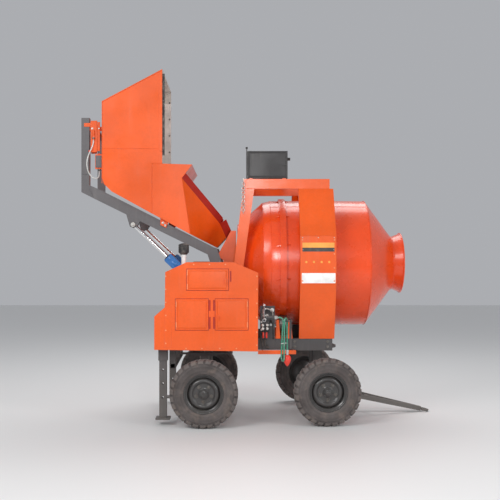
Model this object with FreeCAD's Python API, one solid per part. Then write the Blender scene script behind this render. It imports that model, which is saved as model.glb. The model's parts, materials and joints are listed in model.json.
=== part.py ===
"""Mobile reversible-drum concrete mixer with a hydraulic loading hopper.

Millimetres, +Z up, ground at z = 0.  X runs along the machine: the loading hopper is at
the -X end and the drum mouth at the +X end.  Y is across it, and the side with the doors
is at -Y.  The origin is on the ground under the middle of the whole machine.
"""
import FreeCAD
import Part
import math
import os

Vec = FreeCAD.Vector

# ---------------------------------------------------------------- driving dimensions
overall_length = 3992.0          # hopper arm to tow eye
sheet = 6.0                      # hopper and drum plate
panel_sheet = 4.0                # covers and guards

# chassis
rail_top = 931.0
rail_height = 123.0
rail_outer_y = 700.0
rail_flange = 50.0
rail_wall = 8.0
tube_wall = 6.0                  # box sections of the chassis, arms and top frame
front_beam_x = -1010.0
front_beam_z = 600.0
front_beam_side = 60.0
engine_bearer_ys = (-270.0, 216.0)
engine_bearer_top = 940.0
rail_left_x = -1020.0
rail_right_x = 773.0

# drum
drum_radius = 723.0
drum_above_rails = 106.0         # rail top to the lowest point of the drum
drum_axis_z = rail_top + drum_above_rails + drum_radius
drum_left_x = -262.0             # feed opening
feed_radius = 440.0
cylinder_left_x = 60.0
cylinder_right_x = 1197.0
neck_x = 1523.0
neck_radius = 300.0
lip_x = 1635.0
lip_radius = 345.0
track_ring_rise = 22.0
track_ring_width = 70.0
track_ring_xs = (240.0, 700.0)
gear_x = 575.0
gear_width = 60.0
gear_module = 14.0
gear_stand_off = 75.0            # drum surface to the pitch circle
gear_teeth = round(2 * (drum_radius + gear_stand_off) / gear_module)
pinion_teeth = 15
gear_backlash = 3.0
pinion_angle = 45.0              # from straight below the drum axis, towards +Y

# drum rollers
roller_radius = 100.0
roller_width = 84.0
roller_angle = 36.0              # from straight below the drum axis
roller_axle_radius = 20.0
roller_gap = 0.4
bracket_plate = 12.0

# hopper and its lift
pivot_x = -500.0
pivot_z = 1620.0
arm_y = 580.0                    # middle of each arm
arm_width = 80.0
arm_depth = 110.0
arm_corner_z = 2545.0
arm_top_z = 3367.0
bucket_half_width = 680.0
bucket_left_x = -1759.0
bucket_mouth_x = -1097.0
bucket_top_left_z = 3544.0
bucket_top_right_z = 3895.0
spout_back_low = (-1210.0, 2305.0)     # x and z of the lower end of the bucket's joint
spout_seam_z = 2855.0
spout_crease_top = (-881.0, 2697.0)
spout_crease_low = (-790.0, 2079.0)
nose_half_width = 200.0
rod_eye_x = -1423.0
rod_eye_z = 2185.0
lift_base_x = -480.0
lift_base_z = 1289.0
lift_rod_radius = 22.0
lift_bore_radius = 36.0
lift_barrel_radius = 48.0
lift_gland_start = 600.0         # from the base pin
lift_gland_end = 775.0
lift_piston_start = 560.0
tower_inner_y = 470.0
tower_outer_y = 690.0
tower_plate = 14.0

# covers
cover_outer_y = 920.0
cover_depth = 110.0
cover_left_x = -1163.0
cover_right_x = -45.0
cover_bottom_z = 830.0
cover_top_z = 1771.0
hood_half_width = 455.0

# top frame
beam_top = 2692.0
beam_height = 108.0
beam_left_x = -207.0
beam_right_x = 752.0
beam_outer_y = 606.0
beam_width = 60.0
cabinet_bottom = beam_top + 8
cabinet_height = 304.0
guard_left_x = 406.0
guard_right_x = 793.0
guard_outer_y = 920.0

# running gear
tyre_radius = 367.0
tyre_width = 165.0
rim_radius = 215.0
spindle_radius = 30.0
fixed_axle_x = -629.0
fixed_track = 1935.0             # between tyre centres
steer_axle_x = 645.0
steer_track = 1690.0
steer_rest_yaw = 4.0
turntable_radius = 240.0
turntable_gap = 0.3
drawbar_hinge_x = 110.0          # ahead of the turntable axis
drawbar_hinge_z = 300.0
drawbar_section = 50.0
tow_eye_radius = 55.0
tow_eye_hole = 30.0
tow_eye_thickness = 26.0
ground_gap = 0.4

# jack legs
leg_x = -1080.0
leg_y = 750.0
leg_side = 80.0
leg_foot_z = 60.0
sleeve_wall = 9.0

# cords: points chosen by hand
hose_diameter = 18.0
hose_fold_y = -951.0
hook_z = 1141.0
hose_route = [(165, -900, 1176), (200, -900, 1176), (220, -911, 1158), (222, -921, 1112),
              (212, -927, 1030), (208, -925, 905), (202, -928, 810), (203, -924, 752),
              (203, -924, 730), (210.3, -939.2, 713), (220.7, -960.8, 713), (228, -976, 730),
              (229, -978, 772), (227, -980, 850), (232, -977, 985), (231, -979, 1085),
              (233, -976, 1132), (233, -977, 1156), (241.5, -963, 1172.4),
              (253.5, -943, 1172.4), (262, -929, 1156), (263, -928, 1112), (260, -931, 1030),
              (265, -927, 935), (264, -929, 880), (264, -929, 832)]
cable_diameter = 14.0
cable_route = [(-1860, -636, 3120), (-1860, -636, 3085), (-1874, -642, 3040),
               (-1898, -652, 2985), (-1924, -661, 2915), (-1930, -664, 2845),
               (-1917, -664, 2770), (-1880, -658, 2712), (-1836, -648, 2690),
               (-1803, -637, 2705), (-1796, -630, 2742), (-1796, -630, 2790)]
lever_x = 21.0
lever_z = 1140.0
chain_link_radius = 16.0
chain_wire = 8.0
chain_pitch = 23.6

# fits
running_clearance = 0.05         # radial, shaft in bore
hinge_clearance = 0.06

TOP = beam_top - beam_height


# ---------------------------------------------------------------- helpers
def box(x0, x1, y0, y1, z0, z1):
    """A block between two opposite corners."""
    return Part.makeBox(x1 - x0, y1 - y0, z1 - z0, Vec(x0, y0, z0))


def box_beam(x0, x1, y0, y1, z0, z1, along, wall):
    """A rectangular tube, open at both ends, that runs along "x" or "y"."""
    gap_x, gap_y = (-1, wall) if along == "x" else (wall, -1)
    return box(x0, x1, y0, y1, z0, z1).cut(
        box(x0 + gap_x, x1 - gap_x, y0 + gap_y, y1 - gap_y, z0 + wall, z1 - wall))


def rod(radius, start, end):
    """A round bar from one point to another."""
    start, end = Vec(*start), Vec(*end)
    axis = end.sub(start)
    return Part.makeCylinder(radius, axis.Length, start, axis)


def tube(outer, inner, start, end):
    """A pipe from one point to another."""
    return rod(outer, start, end).cut(rod(inner, start, end))


def prism_y(points, y0, y1):
    """A side outline of (x, z) points, carried across the machine."""
    corners = [Vec(x, y0, z) for x, z in points]
    face = Part.Face(Part.makePolygon(corners + corners[:1]))
    return face.extrude(Vec(0, y1 - y0, 0))


def prism_x(points, x0, x1):
    """An end outline of (y, z) points, carried along the machine."""
    corners = [Vec(x0, y, z) for y, z in points]
    face = Part.Face(Part.makePolygon(corners + corners[:1]))
    return face.extrude(Vec(x1 - x0, 0, 0))


def prism_z(points, z0, z1):
    """A plan outline of (x, y) points, carried upwards."""
    corners = [Vec(x, y, z0) for x, y in points]
    face = Part.Face(Part.makePolygon(corners + corners[:1]))
    return face.extrude(Vec(0, 0, z1 - z0))


def fuse(shapes):
    """One solid from several that touch."""
    shapes = list(shapes)
    joined = shapes[0]
    if len(shapes) > 1:
        joined = joined.multiFuse(shapes[1:])
    return joined.removeSplitter()


def mirror_y(shape):
    """The same piece on the other side of the machine."""
    return shape.mirror(Vec(0, 0, 0), Vec(0, 1, 0))


def both_sides(shape):
    """A piece and its mirror image."""
    return [shape, mirror_y(shape)]


def turned(shape, centre, axis, angle):
    """A copy turned about an axis through a point, in degrees."""
    copy = shape.copy()
    copy.rotate(Vec(*centre), Vec(*axis), angle)
    return copy


def inset(points, distance):
    """An outline drawn inside another, the same distance from every side."""
    count = len(points)
    area = sum(points[i][0] * points[(i + 1) % count][1]
               - points[(i + 1) % count][0] * points[i][1] for i in range(count))
    side = 1.0 if area > 0 else -1.0
    result = []
    for i in range(count):
        before, here, after = points[i - 1], points[i], points[(i + 1) % count]
        d1 = Vec(here[0] - before[0], here[1] - before[1], 0).normalize()
        d2 = Vec(after[0] - here[0], after[1] - here[1], 0).normalize()
        n1, n2 = Vec(-d1.y, d1.x, 0) * side, Vec(-d2.y, d2.x, 0) * side
        mitre = n1.add(n2)
        mitre = mitre * (distance / (1.0 + n1.dot(n2)))
        result.append((here[0] + mitre.x, here[1] + mitre.y))
    return result


def plates(points, edges, thickness, half_width):
    """Plates across the machine along some edges of a side outline."""
    inner = inset(points, thickness)
    made = []
    for i in edges:
        j = (i + 1) % len(points)
        quad = [points[i], points[j], inner[j], inner[i]]
        made.append(prism_y(quad, -half_width, half_width))
    return made


def revolve_x(profile, axis_z):
    """A ring turned about the drum axis from (x, radius) points."""
    corners = [Vec(x, 0, axis_z + r) for x, r in profile]
    face = Part.Face(Part.makePolygon(corners + corners[:1]))
    return face.revolve(Vec(0, 0, axis_z), Vec(1, 0, 0), 360)


def export(name, shapes):
    """Write one sub-part; several solids stay separate in one file."""
    if not isinstance(shapes, (list, tuple)):
        shapes = [shapes]
    solids = [solid for shape in shapes for solid in shape.Solids]
    shape = solids[0] if len(solids) == 1 else Part.makeCompound(solids)
    shape.exportStep("parts/" + name + ".step")


# ---------------------------------------------------------------- chassis
def chassis_rails():
    """Two C-channels, open towards the middle."""
    outer = box(rail_left_x, rail_right_x, -rail_outer_y, -rail_outer_y + rail_flange,
                rail_top - rail_height, rail_top)
    hollow = box(rail_left_x, rail_right_x, -rail_outer_y + rail_wall, -rail_outer_y + rail_flange,
                 rail_top - rail_height + rail_wall, rail_top - rail_wall)
    return both_sides(outer.cut(hollow))


def cross_members():
    """Box sections between the rails, the low front beam and the turntable plate."""
    inner_y = rail_outer_y - rail_flange
    depth = 100.0
    pieces = []
    for x in track_ring_xs:
        pieces.append(box_beam(x - 50, x + 50, -inner_y, inner_y, rail_top - depth, rail_top,
                               "y", tube_wall))
    x = fixed_axle_x + 60
    pieces.append(box_beam(x - 40, x + 40, -inner_y, inner_y, rail_top - depth, rail_top,
                           "y", tube_wall))
    x0, x1 = front_beam_x, front_beam_x + front_beam_side
    beam_top_z = front_beam_z + front_beam_side
    pieces.append(box_beam(x0, x1, -rail_outer_y, rail_outer_y, front_beam_z, beam_top_z,
                           "y", tube_wall))
    pieces += both_sides(box(x0, x1, -rail_outer_y, -inner_y, beam_top_z,
                             rail_top - rail_height))
    plate_z = rail_top - rail_height
    pieces.append(box(steer_axle_x - 250, rail_right_x, -rail_outer_y, rail_outer_y,
                      plate_z - 8, plate_z))
    # shelf for the drum motor between the two roller cross members
    pieces.append(box(track_ring_xs[0] + 50, track_ring_xs[1] - 50, inner_y - 100, inner_y,
                      rail_top - 12, rail_top))
    return pieces


def kingpin():
    """Fixed half of the turntable with the pin that the steering axle turns on."""
    top = rail_top - rail_height - 8
    ring = rod(turntable_radius, (steer_axle_x, 0, top - 12), (steer_axle_x, 0, top))
    pin = rod(spindle_radius, (steer_axle_x, 0, top - 110), (steer_axle_x, 0, top))
    return fuse([ring, pin])


# ---------------------------------------------------------------- hopper tower and lift
def lift_geometry():
    """Length and direction of the lift cylinder with the hopper raised."""
    dx, dz = rod_eye_x - lift_base_x, rod_eye_z - lift_base_z
    length = math.hypot(dx, dz)
    return length, dx / length, dz / length


def hopper_towers():
    """On each side two upright plates with the hopper pin and the cylinder pin."""
    profile = [(lift_base_x - 90, rail_top), (lift_base_x + 70, rail_top),
               (lift_base_x + 55, pivot_z + 25), (pivot_x + 30, pivot_z + 70),
               (pivot_x - 40, pivot_z + 70), (pivot_x - 75, pivot_z + 10)]
    inner = prism_y(profile, -tower_inner_y - tower_plate, -tower_inner_y)
    outer = prism_y(profile, -tower_outer_y, -tower_outer_y + tower_plate)
    foot = box(lift_base_x - 90, lift_base_x + 70, -tower_outer_y, -tower_inner_y,
               rail_top, rail_top + 12)
    hopper_pin = rod(spindle_radius, (pivot_x, -tower_outer_y, pivot_z),
                     (pivot_x, -tower_inner_y, pivot_z))
    base_pin = rod(20, (lift_base_x, -tower_outer_y, lift_base_z),
                   (lift_base_x, -tower_inner_y, lift_base_z))
    leg = box(lift_base_x - 40, lift_base_x + 40, -tower_inner_y - tower_plate, -tower_inner_y,
              rail_top - 100, rail_top)
    cross = box(lift_base_x - 40, lift_base_x + 40, -tower_inner_y, tower_inner_y,
                rail_top - 100, rail_top - 40)
    side = fuse([inner, outer, foot, hopper_pin, base_pin, leg])
    return [side, mirror_y(side), cross]


def arm_outline():
    """Side outline of one arm: upright back, sloped beam, and the hub end."""
    left = -overall_length / 2
    half = arm_width * 0.55
    return [(left, arm_top_z), (left + 88, arm_top_z), (left + 88, arm_corner_z + 78),
            (left + 207, arm_corner_z + 26), (-533, 1935), (-498, 1926), (-446, 1785),
            (pivot_x + half, pivot_z - 20), (pivot_x - half, pivot_z - 20),
            (-577, 1785), (-600, 1855), (left + 155, arm_corner_z - 79), (left, arm_corner_z)]


def hopper_arms():
    """Two arms on hubs, tied by two cross tubes, with the rod-eye brackets."""
    y0, y1 = -arm_y - arm_width / 2, -arm_y + arm_width / 2
    hub_bore = spindle_radius + running_clearance
    outline = arm_outline()
    core = inset(outline, tube_wall)
    core[0], core[1] = (core[0][0], arm_top_z + 1), (core[1][0], arm_top_z + 1)
    arm = prism_y(outline, y0, y1).cut(prism_y(core, y0 + tube_wall, y1 - tube_wall))
    hub = rod(58, (pivot_x, y0 - 10, pivot_z), (pivot_x, y1 + 10, pivot_z))
    hole = rod(hub_bore, (pivot_x, y0 - 30, pivot_z), (pivot_x, y1 + 30, pivot_z))
    bracket = prism_y([(-1500, 2300), (-1346, 2224), (-1385, 2160), (-1423, 2148), (-1460, 2165)],
                      -arm_y - 42, -arm_y - 32)
    other = bracket.copy()
    other.translate(Vec(0, 74, 0))
    tie_low = tube(45, 45 - tube_wall, (-1500, y1, 2361), (-1500, -y1, 2361))
    tie_top = tube(38, 38 - tube_wall, (-1947, y1, arm_top_z - 60), (-1947, -y1, arm_top_z - 60))
    side = fuse([arm, hub, bracket, other]).cut(hole)
    return [side, mirror_y(side), tie_low, tie_top]


def bucket_outline():
    """Side outline of the bucket, from the mouth round the top and back to the spout joint."""
    return [(bucket_mouth_x, spout_seam_z), (bucket_mouth_x, bucket_top_right_z),
            (bucket_left_x, bucket_top_left_z), (bucket_left_x, 2707),
            (bucket_left_x + 22, 2630), (bucket_left_x + 106, 2548), spout_back_low,
            (spout_back_low[0], spout_seam_z)]


def hopper_bucket():
    """Bucket of plate, open at the mouth and towards the spout."""
    points = bucket_outline()
    shell = plates(points, (1, 2, 3, 4, 5), sheet, bucket_half_width - sheet)
    wall = prism_y(points, -bucket_half_width, -bucket_half_width + sheet)
    shell += both_sides(wall)
    # stiffening rib round the back and the folded rim at the mouth
    rib = both_sides(box(bucket_mouth_x - 34, bucket_mouth_x, -bucket_half_width - 4,
                         -bucket_half_width, 2990, bucket_top_right_z - 30))
    return fuse(shell + rib)


def spout_sections():
    """Corner points of the three cross-sections of the narrowing nose."""
    return [(spout_crease_top, spout_crease_low, bucket_half_width),
            ((-468, 2211), (-610, 1988), 300.0),
            ((-395, 2048), (-504, 1934), nose_half_width)]


def section_wire(top, bottom, half):
    """Closed wire of one nose cross-section."""
    corners = [Vec(top[0], -half, top[1]), Vec(top[0], half, top[1]),
               Vec(bottom[0], half, bottom[1]), Vec(bottom[0], -half, bottom[1])]
    return Part.makePolygon(corners + corners[:1])


def hopper_spout():
    """Lower part of the hopper: straight walls, loading lip and the narrowing nose."""
    outline = [spout_back_low, (spout_back_low[0], spout_seam_z), (bucket_mouth_x, spout_seam_z),
               (-768, 2845), spout_crease_top, spout_crease_low]
    shell = both_sides(prism_y(outline, -bucket_half_width, -bucket_half_width + sheet))
    shell += plates(outline, (3, 5), sheet, bucket_half_width - sheet)
    # fillets that carry the loading lip and the belly round the crease into the nose
    mitred = inset(outline, sheet)
    crease = Vec(spout_crease_low[0] - spout_crease_top[0],
                 spout_crease_low[1] - spout_crease_top[1], 0).normalize() * sheet
    for corner, step in ((4, crease), (5, crease * -1)):
        x, z = outline[corner]
        shell.append(prism_y([(x, z), mitred[corner], (x + step.x, z + step.y)],
                             -bucket_half_width + sheet, bucket_half_width - sheet))
    outer, inner = [], []
    for top, bottom, half in spout_sections():
        along = Vec(bottom[0] - top[0], bottom[1] - top[1], 0).normalize()
        outer.append(section_wire(top, bottom, half))
        top_in = (top[0] + along.x * sheet, top[1] + along.y * sheet)
        bottom_in = (bottom[0] - along.x * sheet, bottom[1] - along.y * sheet)
        inner.append(section_wire(top_in, bottom_in, half - sheet))
    nose = Part.makeLoft(outer, True, True).cut(Part.makeLoft(inner, True, True))
    return fuse(shell + [nose])


def mouth_strips():
    """Rubber strips bolted inside the two upright mouth edges."""
    strip = box(bucket_mouth_x - 20, bucket_mouth_x + 26, -bucket_half_width + sheet,
                -bucket_half_width + sheet + 8, 2990, bucket_top_right_z - 110)
    return both_sides(strip)


def load_cells():
    """Weighing mounts between the arms and the bucket, with their bolted tabs."""
    pieces = []
    inner = arm_y - arm_width / 2
    # lower pair: tab on the spout wall that reaches down over the arm
    slope = (spout_crease_low[1] - spout_back_low[1]) / (spout_crease_low[0] - spout_back_low[0])
    top = [(x, spout_back_low[1] + (x - spout_back_low[0]) * slope) for x in (-1122, -1034)]
    tab = prism_y(top + [(-1058, 2150), (-1120, 2180)],
                  -arm_y - arm_width / 2 - 12, -arm_y - arm_width / 2)
    pieces += both_sides(tab)
    # upper pair: beam cell between the arm's upright and the bucket back
    left = -overall_length / 2 + 88
    cell = box(left, bucket_left_x, -arm_y - 25, -arm_y + 25, 3225, 3270)
    pieces += both_sides(cell)
    channel = box(left + 10, left + 70, -inner - 10, -inner + 20, 2980, 3215)
    pieces += both_sides(channel)
    # weighing junction box with two cable glands, on the bucket back
    end, first = cable_route[-1], cable_route[0]
    junction = box(bucket_left_x - 80, bucket_left_x, -650, -590, 2800, 2960)
    gland = rod(11, (end[0], end[1], end[2]), (end[0], end[1], 2800))
    socket = rod(11, first, (first[0], first[1], 3226))
    pieces += [fuse([junction, gland]), socket]
    return pieces


# ---------------------------------------------------------------- lift cylinders
def place_lift(shape):
    """From the cylinder's own axis (+X from the base pin) to its place on the machine."""
    length, cx, cz = lift_geometry()
    angle = -math.degrees(math.atan2(cz, cx))
    copy = shape.copy()
    copy.rotate(Vec(0, 0, 0), Vec(0, 1, 0), angle)
    copy.translate(Vec(lift_base_x, -arm_y, lift_base_z))
    return copy


def lift_barrel():
    """Barrel with its base eye and the gland block."""
    body = tube(lift_barrel_radius, lift_bore_radius, (60, 0, 0), (lift_gland_start, 0, 0))
    cap = rod(lift_barrel_radius, (30, 0, 0), (62, 0, 0))
    eye = rod(40, (0, -28, 0), (0, 28, 0))
    gland = box(lift_gland_start, lift_gland_end, -52, 52, -52, 52)
    gland = gland.cut(rod(lift_rod_radius + running_clearance, (lift_gland_start - 1, 0, 0),
                          (lift_gland_end + 1, 0, 0)))
    port = rod(16, (lift_gland_start - 60, 0, 40), (lift_gland_start - 60, 0, 78))
    port = port.cut(rod(lift_bore_radius + 4, (lift_gland_start - 90, 0, 0),
                        (lift_gland_start - 30, 0, 0)))
    shape = fuse([body, cap, eye, gland, port])
    return shape.cut(rod(20 + running_clearance, (0, -40, 0), (0, 40, 0)))


def lift_rod():
    """Piston, rod and rod eye."""
    length = lift_geometry()[0]
    piston = rod(lift_bore_radius - running_clearance, (lift_piston_start, 0, 0),
                 (lift_piston_start + 35, 0, 0))
    shaft = rod(lift_rod_radius, (lift_piston_start, 0, 0), (length - 20, 0, 0))
    eye = rod(34, (length, -23, 0), (length, 23, 0))
    bush = rod(14, (length, -30, 0), (length, 30, 0))
    return fuse([piston, shaft, eye, bush])


# ---------------------------------------------------------------- drum
def drum_shell():
    """Two cones, a cylinder and the flared discharge lip, open at both ends."""
    outer = [(drum_left_x, feed_radius), (cylinder_left_x, drum_radius),
             (cylinder_right_x, drum_radius), (neck_x, neck_radius), (lip_x, lip_radius)]
    inner = [(x, r - sheet) for x, r in reversed(outer)]
    return revolve_x(outer + inner, drum_axis_z)


def mixing_blades():
    """Slanted blades inside the cylinder and discharge scoops in the right cone."""
    blades = []
    count = 4
    for i in range(count):
        blade = box(-210, 210, -5, 5, drum_radius - sheet - 190, drum_radius - sheet - 2)
        blade = turned(blade, (0, 0, 0), (0, 0, 1), 32)
        blade = blade.common(rod(drum_radius - sheet - 1, (-400, 0, 0), (400, 0, 0)))
        x = 330 if i % 2 == 0 else 880
        blade.translate(Vec(x, 0, drum_axis_z))
        blades.append(turned(blade, (0, 0, drum_axis_z), (1, 0, 0), 90 * i))
    slope = (drum_radius - neck_radius) / (neck_x - cylinder_right_x)
    for i in range(2):
        x0, x1 = cylinder_right_x + 25, neck_x - 25
        r0 = drum_radius - slope * (x0 - cylinder_right_x) - sheet - 22
        r1 = drum_radius - slope * (x1 - cylinder_right_x) - sheet - 22
        scoop = prism_y([(x0, drum_axis_z + r0), (x1, drum_axis_z + r1),
                         (x1, drum_axis_z + r1 - 150), (x0, drum_axis_z + r0 - 230)], -5, 5)
        blades.append(turned(scoop, (0, 0, drum_axis_z), (1, 0, 0), 45 + 180 * i))
    return blades


def gear_outline(teeth, module, tooth_share):
    """Plan points of a straight-flanked gear, tip and root by turns."""
    pitch = module * teeth / 2
    tip, root = pitch + module * 0.85, pitch - module * 1.15
    step = 2 * math.pi / teeth
    root_half, tip_half = step * tooth_share * 0.68, step * tooth_share * 0.30
    points = []
    for i in range(teeth):
        middle = i * step
        for radius, offset in ((root, -root_half), (tip, -tip_half),
                               (tip, tip_half), (root, root_half)):
            angle = middle + offset
            points.append((radius * math.sin(angle), radius * math.cos(angle)))
    return points


def gear_blank(teeth, x0, x1, y, z, turn):
    """A toothed disc about an axis along X."""
    outline = gear_outline(teeth, gear_module, 0.38)
    points = [(y + py, z + pz) for py, pz in outline]
    blank = prism_x(points, x0, x1)
    return turned(blank, (x0, y, z), (1, 0, 0), turn)


def ring_gear():
    """Toothed ring welded round the drum."""
    x0, x1 = gear_x - gear_width / 2, gear_x + gear_width / 2
    blank = gear_blank(gear_teeth, x0, x1, 0, drum_axis_z, 0)
    return blank.cut(rod(drum_radius, (x0 - 1, 0, drum_axis_z), (x1 + 1, 0, drum_axis_z)))


def track_rings():
    """The two rings that run on the rollers."""
    rings = []
    for x in track_ring_xs:
        x0, x1 = x - track_ring_width / 2, x + track_ring_width / 2
        rings.append(tube(drum_radius + track_ring_rise, drum_radius,
                          (x0, 0, drum_axis_z), (x1, 0, drum_axis_z)))
    return rings


def pinion_centre():
    """Y and Z of the pinion's axis."""
    reach = gear_module * (gear_teeth + pinion_teeth) / 2 + gear_backlash
    angle = math.radians(pinion_angle)
    return reach * math.sin(angle), drum_axis_z - reach * math.cos(angle)


def pinion_turn():
    """Angle of a pinion tooth, from straight up towards +Y, that meshes with the ring."""
    ring_phase = (180.0 - pinion_angle) * gear_teeth / 360.0 % 1.0
    return (ring_phase + 0.5) * 360.0 / pinion_teeth - pinion_angle


def pinion():
    """Driving pinion on its shaft."""
    y, z = pinion_centre()
    x0, x1 = gear_x - gear_width / 2, gear_x + gear_width / 2
    wheel = gear_blank(pinion_teeth, x0, x1, y, z, -pinion_turn())
    shaft = rod(25, (x0 - 60, y, z), (x1 + 12, y, z))
    return fuse([wheel, shaft])


def roller_centre(side):
    """Y and Z of a roller's axis."""
    reach = drum_radius + track_ring_rise + roller_radius + roller_gap
    angle = math.radians(roller_angle)
    return side * reach * math.sin(angle), drum_axis_z - reach * math.cos(angle)


def roller(x, side):
    """One support roller with its axle."""
    y, z = roller_centre(side)
    half = roller_width / 2
    wheel = rod(roller_radius, (x - half, y, z), (x + half, y, z))
    axle = rod(roller_axle_radius, (x - 80, y, z), (x + 80, y, z))
    for face in (x - half, x + half):
        groove = tube(roller_radius - 18, 38, (face - 8, y, z), (face + 8, y, z))
        wheel = wheel.cut(groove)
    return fuse([wheel, axle])


def roller_brackets():
    """Four A-shaped brackets, each of two plates on a base plate."""
    made = []
    for x in track_ring_xs:
        y, z = roller_centre(-1)
        parts = [box(x - 102, x + 102, y - 120, y + 120, rail_top, rail_top + 10)]
        for sign in (-1, 1):
            outline = [(y - 110, rail_top + 10), (y + 110, rail_top + 10),
                       (y + 42, z + 40), (y - 42, z + 40)]
            x0 = x + sign * 66 - bracket_plate / 2
            plate = prism_x(outline, x0, x0 + bracket_plate)
            hole = rod(roller_axle_radius + running_clearance, (x0 - 1, y, z),
                       (x0 + bracket_plate + 1, y, z))
            parts.append(plate.cut(hole))
            rib_x0, rib_x1 = (x0 - 24, x0) if sign < 0 else (x0 + bracket_plate, x0 + bracket_plate + 24)
            parts.append(box(rib_x0, rib_x1, y - 5, y + 5, rail_top + 10, z - 34))
        bracket = fuse(parts)
        made += both_sides(bracket)
    return made


def drum_motor():
    """Gearbox and hydraulic motor that drive the pinion, on a bracket."""
    y, z = pinion_centre()
    gearbox = box(gear_x - 175, gear_x - 48, y - 80, y + 50, z - 80, z + 80)
    gearbox = gearbox.makeFillet(12, gearbox.Edges)
    gearbox = gearbox.cut(rod(25 + running_clearance, (gear_x - 100, y, z), (gear_x, y, z)))
    motor = rod(58, (gear_x - 275, y, z), (gear_x - 170, y, z))
    flange = rod(72, (gear_x - 190, y, z), (gear_x - 172, y, z))
    stand = box(gear_x - 165, gear_x - 60, y - 70, y + 8, rail_top, z - 70)
    ports = [rod(12, (gear_x - 250, y, z), (gear_x - 250, y + sign * 45, z + 60)) for sign in (-1, 1)]
    return fuse([gearbox, motor, flange, stand] + ports)


# ---------------------------------------------------------------- top frame and guards
def guard_outline():
    """End outline of one gear guard: out, up and in again."""
    return [(-rail_outer_y - 8, rail_top), (-guard_outer_y, 1540), (-guard_outer_y, 2053),
            (-beam_outer_y - 2, TOP)]


def band(points, thickness, x0, x1):
    """A bent strip that follows an open end outline, thickened towards the middle."""
    made = []
    count = len(points)
    normals = []
    for i in range(count - 1):
        dy, dz = points[i + 1][0] - points[i][0], points[i + 1][1] - points[i][1]
        size = math.hypot(dy, dz)
        normals.append(Vec(dz / size, -dy / size, 0))
    inner = []
    for i in range(count):
        if i in (0, count - 1):
            normal = normals[0] if i == 0 else normals[-1]
            step = thickness / abs(normal.x)
            inner.append((points[i][0] + math.copysign(step, normal.x), points[i][1]))
        else:
            n1, n2 = normals[i - 1], normals[i]
            mitre = n1.add(n2) * (thickness / (1.0 + n1.dot(n2)))
            inner.append((points[i][0] + mitre.x, points[i][1] + mitre.y))
    for i in range(count - 1):
        made.append(prism_x([points[i], points[i + 1], inner[i + 1], inner[i]], x0, x1))
    return fuse(made)


def gear_guards():
    """Bent guard plates with turned-in edges over the ring gear, both sides."""
    outline = guard_outline()
    skin = band(outline, panel_sheet, guard_left_x, guard_right_x)
    edges = [band(outline, 46, guard_left_x, guard_left_x + panel_sheet),
             band(outline, 46, guard_right_x - panel_sheet, guard_right_x)]
    return both_sides(fuse([skin] + edges))


def top_frame():
    """Leaning posts, bent arches inside the guards, top beams and cross members."""
    made = []
    y0, y1 = -beam_outer_y, -beam_outer_y + beam_width
    outline = [(beam_left_x, TOP), (beam_left_x + 124, TOP), (-199, 1745), (-312, rail_top),
               (-393, rail_top), (-304, 1777)]
    core = inset(outline, tube_wall)
    core[3], core[4] = (core[3][0], rail_top - 1), (core[4][0], rail_top - 1)
    post = prism_y(outline, y0, y1).cut(prism_y(core, y0 + tube_wall, y1 - tube_wall))
    beam = box_beam(beam_left_x, beam_right_x, y0, y1, TOP, beam_top, "x", tube_wall)
    made += both_sides(fuse([post, beam]))
    outline = [(y + 6, z) for y, z in guard_outline()]
    for x in (guard_left_x + 8, guard_right_x - 66):
        arch = band(outline, 44, x, x + 58)
        made += both_sides(arch)
    for x in (beam_left_x + 10, beam_right_x - 80):
        made.append(box_beam(x, x + 70, -beam_outer_y + beam_width, beam_outer_y - beam_width,
                             TOP + 16, beam_top - 12, "y", tube_wall))
    for x in (-140, 230):
        made.append(box(x, x + 40, -beam_outer_y, beam_outer_y, beam_top, beam_top + 8))
    return made


def inlet_chute():
    """Fixed trough from under the hopper nose into the drum's feed opening."""
    half = 240.0
    wall = 5.0
    side = [(-487, 1862), (-384, 2056), (-344, 2130), (-284, 2130), (-284, 1930),
            (-150, 1720), (-150, 1570), (-462, 1815)]
    made = both_sides(prism_y(side, -half, -half + wall))
    made.append(prism_y([(-487, 1862), (-462, 1815), (-150, 1570), (-150, 1576), (-459, 1819),
                         (-482, 1862)], -half, half))
    made.append(prism_y([(-344, 2130), (-284, 2130), (-284, 2124), (-340, 2124)], -half, half))
    bar = box(-430, -390, -tower_inner_y, tower_inner_y, 1705, 1752)
    skirt = both_sides(prism_y([(-430, 1790), (-330, 1712), (-330, 1705), (-430, 1705)],
                               -half - 14, -half))
    return fuse(made + [bar] + skirt)


# ---------------------------------------------------------------- covers
def cover_outline():
    """Side outline of the housing panels."""
    return [(cover_left_x, cover_bottom_z), (cover_left_x, 1188), (-1050, 1286), (-1045, 1665),
            (-815, cover_top_z), (-310, cover_top_z), (cover_right_x, 1655),
            (cover_right_x - 5, cover_bottom_z - 18)]


precleaner_place = (-851.0, -830.0)
precleaner_pipe_radius = 26.0
upper_door_box = (-800.0, -367.0, 1470.0, 1697.0)
left_door_box = (-920.0, -583.0, 1043.0, 1376.0)
right_door_box = (-506.0, -169.0, 1043.0, 1376.0)
door_gap = 3.0


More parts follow.
